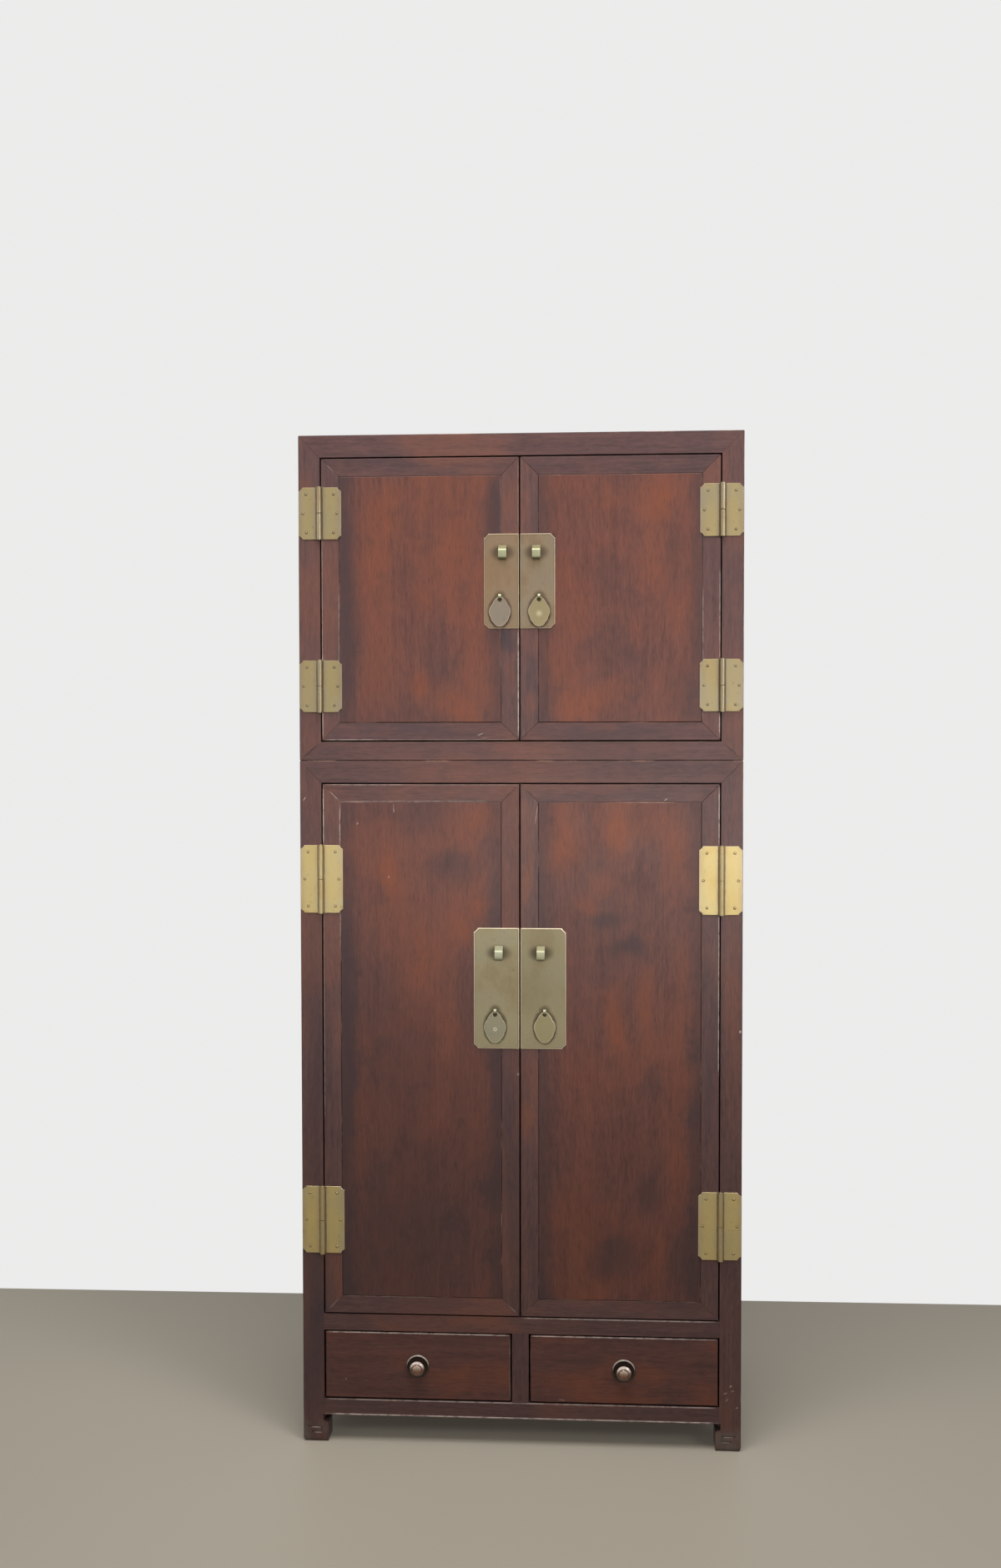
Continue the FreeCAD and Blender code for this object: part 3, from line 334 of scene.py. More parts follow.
class Wire:
    """A node's socket, on which Python's operators add Math nodes."""

    __add__, __radd__ = operator_pair("ADD")
    __sub__, __rsub__ = operator_pair("SUBTRACT")
    __mul__, __rmul__ = operator_pair("MULTIPLY")
    __truediv__, __rtruediv__ = operator_pair("DIVIDE")
    __pow__, __rpow__ = operator_pair("POWER")

    def __init__(self, palette, socket):
        self.palette = palette
        self.socket = socket

    def maths(self, operation, first, second=0.0, clamp=False):
        settings = {"operation": operation, "use_clamp": clamp}
        return self.palette.add("ShaderNodeMath", settings, {0: first, 1: second})

    def __abs__(self):
        return self.maths("ABSOLUTE", self)

    def most(self, other):
        return self.maths("MAXIMUM", self, other)

    def least(self, other):
        return self.maths("MINIMUM", self, other)

    def sine(self):
        return self.maths("SINE", self)

    def clamp(self):
        return self.maths("ADD", self, 0.0, True)

    def step(self, low, high, top=1.0):
        """Runs softly from 0 at low to top at high."""
        settings = {"interpolation_type": "SMOOTHSTEP"}
        sockets = {0: self, 1: low, 2: high, 3: 0.0, 4: top}
        return self.palette.add("ShaderNodeMapRange", settings, sockets)


class Palette:
    """A material's nodes, with a base colour that is laid on coat by coat."""

    def __init__(self, name, colour):
        material = bpy.data.materials.new(name)
        material.use_nodes = True
        material.diffuse_color = (*colour, 1)
        self.nodes = material.node_tree.nodes
        self.links = material.node_tree.links
        self.shader = self.nodes["Principled BSDF"]
        self.base = colour

    def feed(self, socket, value):
        """Links or sets one socket."""
        if isinstance(value, Wire):
            self.links.new(value.socket, socket)
        elif isinstance(value, (int, float)):
            socket.default_value = value
        else:
            socket.default_value = (*value, 1)[: len(socket.default_value)]

    def add(self, kind, settings, sockets, output=0):
        """Adds a node: its settings first, then its sockets' values or links."""
        node = self.nodes.new(kind)
        for key, value in settings.items():
            setattr(node, key, value)
        for key, value in sockets.items():
            self.feed(node.inputs[key], value)
        return Wire(self, node.outputs[output])

    def place(self):
        """The place on the object, in metres."""
        return self.add("ShaderNodeTexCoord", {}, {}, "Object")

    def split(self, vector):
        """A vector's three parts."""
        outputs = self.add("ShaderNodeSeparateXYZ", {}, {0: vector}).socket.node.outputs
        return [Wire(self, socket) for socket in outputs]

    def vector(self, x, y, z):
        """A vector from its three parts."""
        return self.add("ShaderNodeCombineXYZ", {}, {0: x, 1: y, 2: z})

    def scaled(self, vector, factors, offset=(0, 0, 0)):
        """A vector with each part multiplied."""
        sockets = {"Vector": vector, "Location": offset, "Scale": factors}
        return self.add("ShaderNodeMapping", {}, sockets)

    def shift(self, vector, other):
        """The sum of two vectors."""
        return self.add("ShaderNodeVectorMath", {"operation": "ADD"}, {0: vector, 1: other})

    def noise(self, vector, scale, detail=2.0, roughness=0.5):
        """Smooth noise about 0.5."""
        sockets = {"Vector": vector, "Scale": scale, "Detail": detail, "Roughness": roughness}
        return self.add("ShaderNodeTexNoise", {}, sockets)

    def mix(self, factor, first, second, mode="MIX"):
        """A colour between two others."""
        settings = {"data_type": "RGBA", "blend_type": mode, "clamp_factor": True}
        return self.add("ShaderNodeMix", settings, {0: factor, 6: first, 7: second}, 2)

    def lay(self, mask, colour, mode="MIX"):
        """Lays a colour on the base as far as a mask goes."""
        self.base = self.mix(mask, self.base, colour, mode)

    def edges(self):
        """A mask that is 1 on arrises, whose normals lie between the main directions."""
        normal = self.add("ShaderNodeTexCoord", {}, {}, "Normal")
        x, y, z = [abs(part) for part in self.split(normal)]
        return (1 - x.most(y).most(z)).step(0.04, 0.2)

    def bump(self, height, distance, strength=0.3):
        """A bumped normal."""
        sockets = {"Strength": strength, "Distance": distance, "Height": height}
        return self.add("ShaderNodeBump", {}, sockets)

    def finish(self, sockets):
        """Feeds the shader its base colour and its other sockets."""
        for key, value in {"Base Color": self.base, **sockets}.items():
            self.feed(self.shader.inputs[key], value)


def tint(colour, *factors):
    """A colour made lighter or darker, by one factor or by one for each channel."""
    if len(factors) == 1:
        factors *= 3
    return tuple(min(1.0, part * factor) for part, factor in zip(colour, factors))


def distance(off_x, off_z):
    """How far a place on the front is from a centre."""
    return (off_x * off_x + off_z * off_z) ** 0.5


def stretch(along, share):
    """Factors that draw a pattern out along one axis."""
    return [share if axis == along else 1.0 for axis in "xyz"]


# Materials

# How far grain, patches and flecks are drawn out along the wood, as shares
GRAIN = 0.035
PATCH = 0.6
MOTTLE = 0.22
# Fixed tones: the painted highlights on the knobs' shoulders and hubs, the pale brass rims that
# are partly rubbed and partly painted highlights, and the eyes on the upper doors
COPPER_HIGHLIGHT = (0.88, 0.78, 0.70)
COPPER_HUB_HIGHLIGHT = (0.88, 0.74, 0.62)
BRASS_RIM_HIGHLIGHT = (0.85, 0.74, 0.54)
EYE_TONE = (0.95, 0.98, 0.92)

# Warm and dark patches on the front, partly the wood's own uneven tone and partly painted shade,
# chiefly the broad dark patches low on the lower doors and the left post where the light falls off
# toward the bottom: middle x and z, half width, half height, strength
TONE_AND_SHADE_PATCHES = {
    "door_panel_wood": (
        (-240, 1570, 55, 130, 0.3), (-108, 1582, 32, 90, 0.3), (-166, 1449, 22, 60, 0.45),
        (-172, 1290, 28, 42, 1.0), (-110, 1268, 50, 42, 0.6), (-246, 1303, 45, 90, 0.45),
        (-292, 1430, 28, 260, -0.6), (-44, 1600, 34, 70, -0.4), (-190, 1505, 35, 50, -0.3),
        (238, 1625, 32, 48, 0.5), (139, 1620, 38, 40, 0.25), (60, 1325, 50, 50, 0.5),
        (117, 1268, 80, 40, 0.75), (195, 1372, 16, 35, 0.5), (262, 1560, 20, 120, -0.5),
        (182, 1346, 50, 38, -0.5), (113, 1372, 32, 22, -0.4), (139, 1483, 30, 60, -0.35),
        (268, 1294, 30, 70, -0.5), (-220, 1003, 26, 55, 0.7), (-60, 1080, 48, 38, 0.6),
        (-66, 932, 20, 34, 0.6), (-133, 774, 34, 150, 0.55), (-173, 856, 32, 70, 0.4),
        (-104, 903, 26, 60, 0.45), (-144, 587, 40, 70, 0.4), (-255, 564, 55, 90, 0.25),
        (-115, 1008, 62, 42, -0.75), (-170, 1079, 50, 30, -0.45), (-300, 700, 30, 260, -0.4),
        (-57, 476, 50, 100, -0.5), (-180, 330, 190, 160, -0.7), (-190, 600, 200, 300, -0.65),
        (163, 1055, 28, 72, 0.9), (64, 1032, 50, 85, 0.85), (233, 1060, 66, 52, 0.5),
        (140, 950, 34, 34, 0.55), (108, 905, 32, 28, 0.65), (157, 728, 24, 72, 0.85),
        (209, 751, 24, 72, 0.75), (105, 622, 60, 80, 0.35), (111, 447, 30, 120, 0.2),
        (93, 268, 70, 26, 0.25), (186, 827, 36, 24, -1.0), (146, 880, 42, 20, -0.7),
        (215, 622, 28, 40, -0.4), (215, 429, 32, 40, -0.75), (175, 347, 60, 55, -0.7),
        (280, 320, 40, 110, -0.5),
    ),
    "frame_wood_z": (
        (-17, 1316, 12, 50, 0.5), (-17, 1376, 18, 32, -0.8), (26, 1578, 24, 60, -0.6),
        (18, 1247, 14, 28, 0.6), (18, 1324, 12, 60, -0.5), (8, 985, 12, 60, 0.6),
        (24, 1020, 10, 80, -0.5), (12, 570, 14, 50, 0.7), (-18, 480, 18, 270, -0.6),
        (320, 640, 16, 220, -0.4), (16, 330, 16, 130, -0.5), (357, 740, 26, 240, 0.6),
        (-355, 1640, 16, 30, 0.6), (-355, 700, 26, 330, -0.5), (-355, 230, 34, 260, -1.0),
    ),
    "frame_wood_x": (
        (-200, 1672, 130, 18, -0.5), (-190, 1224, 150, 16, -0.6), (180, 1226, 150, 14, -0.4),
        (-80, 1122, 70, 18, -0.5), (100, 1122, 120, 16, -0.5), (-70, 241, 70, 16, 0.3),
        (-230, 209, 60, 14, 0.5),
    ),
}

LONGEST_FADE = 18 * MM
# Thin lines on the front, pale for scuff marks and for painted highlights along arrises that catch
# the light, dark for cracks at the mitres: start x and z, end x and z, width, strength
MITRE_SCUFFS = (
    (-326, 1126, -307, 1107, 1.2, 0.9), (-333, 229, -309, 253, 1.1, 0.5),
    (-22, 247, -4, 229, 1.1, 0.55), (-328, 1678, -312, 1662, 1.0, 0.5),
    (4, 229, 18, 243, 1.0, 0.35),
)
MITRE_CRACKS = (
    (-338.5, 1208, -375, 1176, 1.3, 0.9), (338.5, 1208, 375, 1176, 1.3, 0.8),
    (-375, 1176, -335, 1134, 1.0, 0.45), (375, 1176, 345, 1144, 1.2, 0.7),
    (336, 1136, 306, 1106, 1.1, 0.6), (-375, 1726, -338.5, 1686, 1.0, 0.3),
    (375, 1726, 338.5, 1686, 1.0, 0.25), (336, 226, 306, 256, 1.1, 0.4),
)
# Pale lines, partly scuff marks and partly painted highlights: the lines along the drawers' top
# edges, the rails' top edges, the bead, the doors' outer edges and the feet's frets stand for
# light caught on those arrises.
SCUFFS_AND_HIGHLIGHTS = {
    "frame_wood_z": (
        *MITRE_SCUFFS,
        (-335.1, 1028, -335.1, 1136, 1.5, 1.0), (-335.1, 560, -335.1, 925, 1.1, 0.4),
        (-306.8, 1024, -306.8, 1106, 1.4, 0.85), (-306.8, 850, -306.8, 925, 1.2, 0.5),
        (335.1, 1028, 335.1, 1136, 1.7, 1.0), (335.1, 640, 335.1, 925, 1.4, 0.75),
        (-335.1, 1211, -335.1, 1360, 1.5, 0.9), (-335.1, 1340, -335.1, 1560, 1.1, 0.45),
        (-306.8, 1240, -306.8, 1470, 1.2, 0.35), (-2.1, 1211, -2.1, 1402, 1.7, 1.0),
        (-2.1, 1550, -2.1, 1684, 1.1, 0.3), (-3.0, 640, -3.0, 645, 3.4, 1.2),
        (371, 716, 372, 722, 2.6, 1.0), (335.1, 1211, 335.1, 1262, 1.6, 1.0),
        (335.1, 1335, 335.1, 1500, 1.3, 0.55), (306.8, 1240, 306.8, 1470, 1.6, 0.35),
        (-370, 1107, -364, 1116, 1.2, 0.9), (30, 1103, 26, 1066, 1.1, 0.6),
        (355, 111, 360, 115, 1.6, 0.8), (345, 99, 352, 102, 1.6, 0.6),
        (358, 103, 364, 106, 1.6, 0.7), (348, 86, 354, 92, 2.0, 0.6), (365, 75, 371, 77, 1.6, 0.5),
        (-364, 24.8, -341, 24.8, 1.4, 1.0), (-358, 15.8, -341, 15.8, 1.4, 0.9),
        (341, 24.8, 364, 24.8, 1.4, 1.0), (341, 15.8, 358, 15.8, 1.4, 0.7),
    ),
    "frame_wood_x": (
        *MITRE_SCUFFS,
        (-336, 1211.6, -240, 1211.6, 1.4, 0.6), (-260, 1211.6, -2, 1211.6, 1.1, 0.3),
        (-73, 1218, -60, 1223, 1.3, 0.7), (-66, 1214, -54, 1215, 1.2, 0.6),
        (-336, 1135.0, -190, 1135.0, 1.2, 0.5), (-210, 1135.0, -2, 1135.0, 1.1, 0.3),
        (-306, 1107.0, -50, 1107.0, 1.2, 0.45), (-306, 255.2, -140, 255.2, 1.1, 0.35),
        (31, 255.2, 306, 255.2, 1.0, 0.15), (0, 222.6, 337, 222.6, 1.6, 0.75),
        (-337, 74.7, 337, 74.7, 1.5, 0.8), (-331, 48.8, 332, 48.8, 2.4, 0.9),
        (-331, 47.6, -336, 42.0, 1.5, 0.9), (331, 47.6, 336, 42.0, 1.5, 0.6),
        (243, 1108, 249, 1113, 1.3, 0.7),
    ),
    "drawer_front_wood": (
        (-337, 192.1, -16, 192.1, 1.7, 0.75), (16, 192.1, 337, 192.1, 1.7, 0.8),
        (-17.8, 78, -17.8, 193, 1.2, 0.3), (-302, 110, -299, 111, 2.0, 0.5),
        (64, 83, 78, 82, 1.6, 0.4),
    ),
    "door_panel_wood": (
        (-215, 1104, -214, 1086, 1.2, 0.8), (-278, 1067, -275, 1071, 1.6, 0.6),
        (-224.5, 977, -222.5, 979, 1.8, 0.9), (-306, 860, -306, 1106, 1.0, 0.35),
        (-306, 1250, -306, 1480, 1.0, 0.25),
    ),
}


def front_lines(palette, place, marks):
    """A mask of thin lines on the front, from marks in millimetres: scuff marks, cracks and
    painted highlights along arrises.
    """
    x, y, z = palette.split(place)
    total = 0.0
    for x0, z0, x1, z1, width, strength in marks:
        start, end = Vector((x0, z0)) * MM, Vector((x1, z1)) * MM
        along = (end - start).normalized()
        length = (end - start).length
        middle = (start + end) / 2
        if along.x == 0:
            run, off = z - middle.y, x - middle.x
        elif along.y == 0:
            run, off = x - middle.x, z - middle.y
        else:
            run = x * along.x + z * along.y - middle.dot(along)
            off = x * along.y - z * along.x - (middle.x * along.y - middle.y * along.x)
        fade = min(LONGEST_FADE, length * 0.35)
        line = abs(off).step(width * MM * 0.8, width * MM * 0.4)
        line = line * abs(run).step(length / 2, length / 2 - fade)
        total = line * strength + total
    broken = palette.noise(place, 75.0, 3.0, 0.6).step(0.36, 0.56) * 0.65 + 0.35
    return total * broken * y.step(FRONT + 3 * MM, FRONT + 1.5 * MM)


def patches_at(palette, place, spots):
    """Soft patches on the front, above 0 where warm and below 0 where darker, which is partly
    painted shade.
    """
    total = 0.0
    for x, z, reach_x, reach_z, strength in spots:
        factors = (1 / (reach_x * MM), 0, 1 / (reach_z * MM))
        near = palette.scaled(place, factors, (-x / reach_x, 0, -z / reach_z))
        far = palette.add("ShaderNodeVectorMath", {"operation": "LENGTH"}, {0: near}, "Value")
        total = far.step(1.15, 0.15, strength) + total
    return total


def lacquered_wood(name, along, colour, seed, field=False):
    """Old red-brown lacquered hardwood with its grain along one axis."""
    look = bpy.context.scene.kang_cabinet
    palette = Palette(name, colour)
    place = palette.place()
    _, y, z = palette.split(place)
    lie = stretch(along, GRAIN)
    wander = palette.noise(place, 3.1) * 0.03
    drift = palette.vector(wander, wander, wander)
    grain = palette.scaled(palette.shift(place, drift), lie, (seed, seed, seed))
    bands = palette.noise(grain, 52.0)
    streaks = palette.noise(grain, 190.0, 4.0, 0.6)
    fibres = palette.noise(grain, 800.0, 3.0, 0.65)
    drawn = palette.scaled(place, stretch(along, PATCH), (seed, 0, seed))
    clouds = palette.noise(drawn, 8.0, 3.0, 0.55)
    haze = palette.noise(drawn, 6.1, 4.0, 0.6)
    smudges = palette.noise(place, 19.0, 5.0, 0.62)
    flecked = palette.scaled(place, stretch(along, MOTTLE), (seed, seed, 0))
    mottle = palette.noise(flecked, 230.0, 3.0, 0.65)
    tone = (bands - 0.5) * 0.7 + (streaks + fibres - 1.0) * 0.9 + (mottle - 0.5) * 1.1
    tone = tone * look.grain_strength + (clouds - 0.5) * 0.5 + 0.5
    spots = TONE_AND_SHADE_PATCHES.get(name, ())
    broad = 0.55 if spots else 1.0
    warm = clouds.step(0.44, 0.64) * 0.8 * broad
    shade = smudges.step(0.54, 0.74) * 0.3 + haze.step(0.5, 0.66) * 0.5 * broad
    if spots:
        sway = palette.vector((haze - 0.5) * 0.06, 0.0, (clouds - 0.5) * 0.16)
        # The dark patches from the table are partly painted shade where the light falls off toward
        # the bottom of the lower doors and the left post.
        patches = patches_at(palette, palette.shift(place, sway), spots)
        patches = patches * y.step(FRONT + 40 * MM, FRONT + 30 * MM)
        warm = warm + patches.most(0.0)
        shade = shade - patches.least(0.0) * 0.75
    if field:
        spot = palette.add("ShaderNodeAttribute", {"attribute_name": "place"}, {}, "Vector")
        across, height, number = palette.split(spot)
        lean = across - (palette.noise(place, 1.7, 1.0) - 0.5) * 0.9
        arch = height * 2.6 - lean * lean * 1.1 + number * 0.37
        arch = arch + (clouds - 0.5) * 0.5 + (bands - 0.5) * 0.22
        rings = (arch * 34.0).sine() * 0.5 + (arch * 81.0).sine() * 0.3
        tone = tone + rings * smudges * 0.2
        side = (abs(across) + (smudges - 0.5) * 0.3).step(0.7, 0.92)
        shade = shade + side * 0.5
        warm = warm + (1 - side) * 0.2
    tone = tone.clamp()
    palette.base = tint(colour, 0.5, 0.56, 0.64)
    palette.lay(tone, tint(colour, 1.42, 1.3, 1.24))
    palette.lay(warm * (tone * 0.5 + 0.4), tint(colour, 1.82, 1.25, 0.72))
    palette.lay(shade.least(0.9), tint(colour, 0.46, 0.62, 0.78))
    pores = palette.noise(palette.scaled(place, lie, (seed, 0, 0)), 1500.0, 1.0)
    pore = pores.step(0.6, 0.68)
    palette.lay(pore * 0.4, tint(colour, 0.4))
    arris = palette.edges()
    rubbed = palette.noise(place, 11.0, 5.0, 0.7).step(0.5, 0.66)
    # Arrises that are not rubbed pale are painted darker, partly dirt and partly painted shade
    # along the joints and chamfers.
    palette.lay(arris * (1 - rubbed) * 0.6, tint(colour, 0.3))
    worn = arris * rubbed * look.wear
    palette.lay(worn, look.worn_colour)
    if name in ("frame_wood_x", "frame_wood_z"):
        palette.lay(front_lines(palette, place, MITRE_CRACKS), tint(colour, 0.15))
    # Pale lines, partly scuff marks and partly painted highlights where arrises catch the light.
    if name in SCUFFS_AND_HIGHLIGHTS:
        pale = front_lines(palette, place, SCUFFS_AND_HIGHLIGHTS[name])
        palette.lay(pale, look.scuff_and_highlight_colour)
        worn = worn + pale
    if name == "frame_wood_z":
        foot = z.step(46 * MM, 22 * MM) * smudges.step(0.36, 0.6)
        palette.lay(foot * 0.55, look.dust_colour)
    relief = streaks * 0.5 + fibres * 0.35 - pore * 0.4
    roughness = (streaks - 0.5) * 0.14 + smudges * 0.14 + look.gloss_roughness + worn * 0.15
    palette.finish(
        {
            "Roughness": roughness,
            "Normal": palette.bump(relief, 0.0003),
            "IOR": 1.48,
            "Specular IOR Level": 0.32,
        }
    )


def raw_wood(name, along, colour):
    """Plain unlacquered wood for the inside, dull and a little dusty."""
    palette = Palette(name, colour)
    place = palette.place()
    lie = stretch(along, GRAIN)
    grain = palette.scaled(place, lie)
    bands = palette.noise(grain, 38.0)
    streaks = palette.noise(grain, 150.0, 5.0, 0.65)
    fibres = palette.noise(grain, 900.0, 3.0, 0.65)
    dust = palette.noise(place, 9.0, 4.0, 0.6)
    tone = (bands - 0.5) * 0.9 + (streaks - 0.5) * 1.3 + (fibres - 0.5) * 1.2 + 0.5
    palette.base = tint(colour, 0.65)
    palette.lay(tone.clamp(), tint(colour, 1.3))
    pores = palette.noise(palette.scaled(place, lie, (3, 3, 0)), 1700.0, 1.0)
    palette.lay(pores.step(0.6, 0.67) * 0.45, tint(colour, 0.4))
    palette.lay(dust.step(0.45, 0.7) * 0.3, tint(colour, 1.5))
    normal = palette.bump(streaks + fibres * 0.5, 0.0005, 0.5)
    palette.finish({"Roughness": dust * 0.2 + 0.62, "Normal": normal})


# Pale ring and spot marks on the drop handles: storey, side, inner and outer radius, soft edge,
# strength
DROP_MARKS = (
    ("lower", "left", 2.4, 3.6, 0.8, 0.6),
    ("lower", "left", 0.0, 1.2, 0.8, 0.5),
    ("upper", "right", 0.0, 8.0, 8.0, 0.35),
)


def border(x, z):
    """How deep a place lies inside the edge of its lock plate."""
    corner, notch = PLATE_CORNER
    deepest = -1.0
    for storey in STOREYS:
        width, height = PLATE_SIZES[storey]
        out = DOOR_INNER_X + width - abs(x)
        end = height / 2 - abs(z - (PLATE_BOTTOMS[storey] + height / 2))
        depth = out.least(abs(x) - DOOR_INNER_X).least(end)
        depth = depth.least((out + end - (corner + notch)) * 0.71)
        deepest = depth.most(deepest)
    return deepest


def aged_brass(name, colour, patina, tone=None, rims=False, leaves=False, grime_and_shadow_halos=(), marks=()):
    """Aged brass with brown patches, fine rubbing marks, bright rims that are partly painted
    highlights, and dark halos that are partly grime and partly painted shadow.
    """
    look = bpy.context.scene.kang_cabinet
    palette = Palette(name, colour)
    place = palette.place()
    x, _, z = palette.split(place)
    patches = palette.noise(palette.scaled(place, (1, 1, 0.6)), 24.0, 4.0, 0.6)
    rubbing = palette.noise(palette.scaled(place, (1, 1, 0.12)), 520.0, 3.0, 0.6)
    grime = palette.noise(place, 130.0, 4.0, 0.6)
    brown = tint(colour, 0.74, 0.62, 0.56)
    palette.lay(patches.step(0.44, 0.64) * patina, brown)
    palette.lay(patches.step(0.56, 0.34) * 0.65, tint(colour, 0.84, 0.92, 1.12))
    palette.lay((rubbing - 0.5) * 0.7 + 0.25, tint(colour, 1.18))
    stain_and_shade = grime.step(0.6, 0.76) * 0.3
    if leaves:
        aside = abs(abs(x) - PIVOT_X)
        golden = abs(aside - LEAF_MIDDLE).step(15 * MM, 4 * MM) * (patches * 0.8 + 0.1)
        palette.lay(golden, tint(colour, 1.2, 1.16, 0.82))
        # A dark strip beside each knuckle, partly grime and partly painted shade where the leaf
        # meets the knuckle.
        seam = (aside + (grime - 0.5) * 0.002).step(6.6 * MM, 5.6 * MM)
        stain_and_shade = stain_and_shade.most(seam * 0.85)
    # Dark halos round the eyes, staples and drops, partly grime and partly painted shadow cast by
    # them on the plates.
    for centre_x, centre_z, reach, start, squash in grime_and_shadow_halos:
        far = distance(abs(x) - centre_x, (z - centre_z) * squash) + (grime - 0.5) * 0.004
        stain_and_shade = stain_and_shade.most(far.step(reach, start) * 0.72)
    if grime_and_shadow_halos:
        left = x.step(1 * MM, -1 * MM)
        palette.lay(left * z.step(1200 * MM, 1300 * MM) * 0.4, tint(colour, 1.05, 0.84, 0.7))
        lower = z.step(1300 * MM, 1200 * MM)
        palette.lay(lower * (1 - left) * 0.5, tint(colour, 0.8))
        palette.lay(lower * z.step(800 * MM, 710 * MM) * 0.6, tint(colour, 1.22))
    palette.lay(stain_and_shade, tint(brown, 0.4))
    # The brass on the upper cabinet is multiplied darker, partly patina and partly painted shade.
    upper = z.step(1170 * MM, 1210 * MM)
    palette.lay(upper, tone or look.upper_patina_and_shade, "MULTIPLY")
    roughness = patches * 0.2 + rubbing * 0.14 + 0.28 + stain_and_shade * 0.15
    # Bright rims along the edges, partly rubbed brass and partly painted highlights where the
    # edges catch the light; the pale ring marks join them.
    if rims:
        rim = palette.edges() * grime.step(0.25, 0.45)
        if grime_and_shadow_halos:
            depth = border(x, z)
            gutter = depth.step(0.9 * MM, 1.6 * MM) * depth.step(3.4 * MM, 1.8 * MM)
            palette.lay(gutter * 0.35, tint(brown, 0.5))
            rim = rim.most(depth.step(1.5 * MM, 0.9 * MM) * (grime * 0.5 + 0.45))
        rim = rim * (1 - upper * 0.6)
        for mark_x, mark_z, inner, outer, soft, strength in marks:
            far = distance(x - mark_x, z - mark_z)
            ring = far.step(outer, outer - soft) * far.step(inner - 0.6 * MM, inner)
            rim = rim.most(ring * strength)
        if marks:
            palette.lay(x.step(-1 * MM, 1 * MM) * 0.6, tint(colour, 1.08, 1.02, 0.72))
        palette.lay(rim * 0.85, BRASS_RIM_HIGHLIGHT)
        roughness = roughness - rim * 0.1
    palette.finish(
        {
            "Roughness": roughness,
            "Metallic": 0.93 - stain_and_shade * 0.5,
            "Normal": palette.bump(rubbing * 0.4 + grime, 0.00025),
        }
    )


def tarnish(name, colour):
    """Dark tarnish round nails."""
    palette = Palette(name, colour)
    spots = palette.noise(palette.place(), 400.0, 3.0)
    palette.base = tint(colour, 0.6)
    palette.lay(spots, tint(colour, 1.6))
    palette.finish({"Metallic": 0.4, "Roughness": spots * 0.2 + 0.5})


def knob_finish(name, colour, rubbed_colour):
    """Dark polished wood, rubbed to copper brown where hands take hold, with painted highlights on
    the upper side of its hub, shoulder and rosette ring.
    """
    palette = Palette(name, colour)
    place = palette.place()
    x, y, z = palette.split(place)
    grain = palette.noise(palette.scaled(place, (1, 0.2, 1)), 300.0, 4.0, 0.6)
    patches = palette.noise(place, 90.0, 3.0, 0.6)
    above = z - KNOB_Z
    out = distance(abs(x) - KNOB_X, above)
    palette.base = tint(colour, 0.6)
    palette.lay(grain, tint(colour, 1.5))
    cap = out.step(13.6 * MM, 12.6 * MM) * y.step(FRONT - 5 * MM, FRONT - 8 * MM)
    dull, bright = tint(rubbed_colour, 0.7), tint(rubbed_colour, 1.15)
    rubbed = palette.mix(patches.step(0.35, 0.65), dull, bright)
    # A pale hub on the upper side of the knob's face, a painted highlight.
    hub = out.step(9 * MM, 6.5 * MM) * above.step(-2 * MM, 5 * MM)
    rubbed = palette.mix(hub * 0.3, rubbed, COPPER_HUB_HIGHLIGHT)
    palette.lay(cap * 0.95, rubbed)
    # The upward-facing shoulder and rosette ring are painted with a highlight.
    rise = (above / (out + 0.0001)).step(-0.1, 0.6)
    shoulder = out.step(8.6 * MM, 10.0 * MM) * cap
    ring = out.step(17.6 * MM, 18.4 * MM)
    palette.lay((shoulder * 0.75 + ring * 0.4) * rise, COPPER_HIGHLIGHT)
    polish = cap + ring * (1 - cap)
    palette.finish(
        {
            "Roughness": patches * 0.14 + 0.22,
            "Metallic": cap * 0.3,
            "Coat Weight": polish * 0.7 + 0.08,
            "Coat Roughness": 0.12,
            "Specular IOR Level": 0.25,
            "Normal": palette.bump(grain, 0.0003),
        }
    )


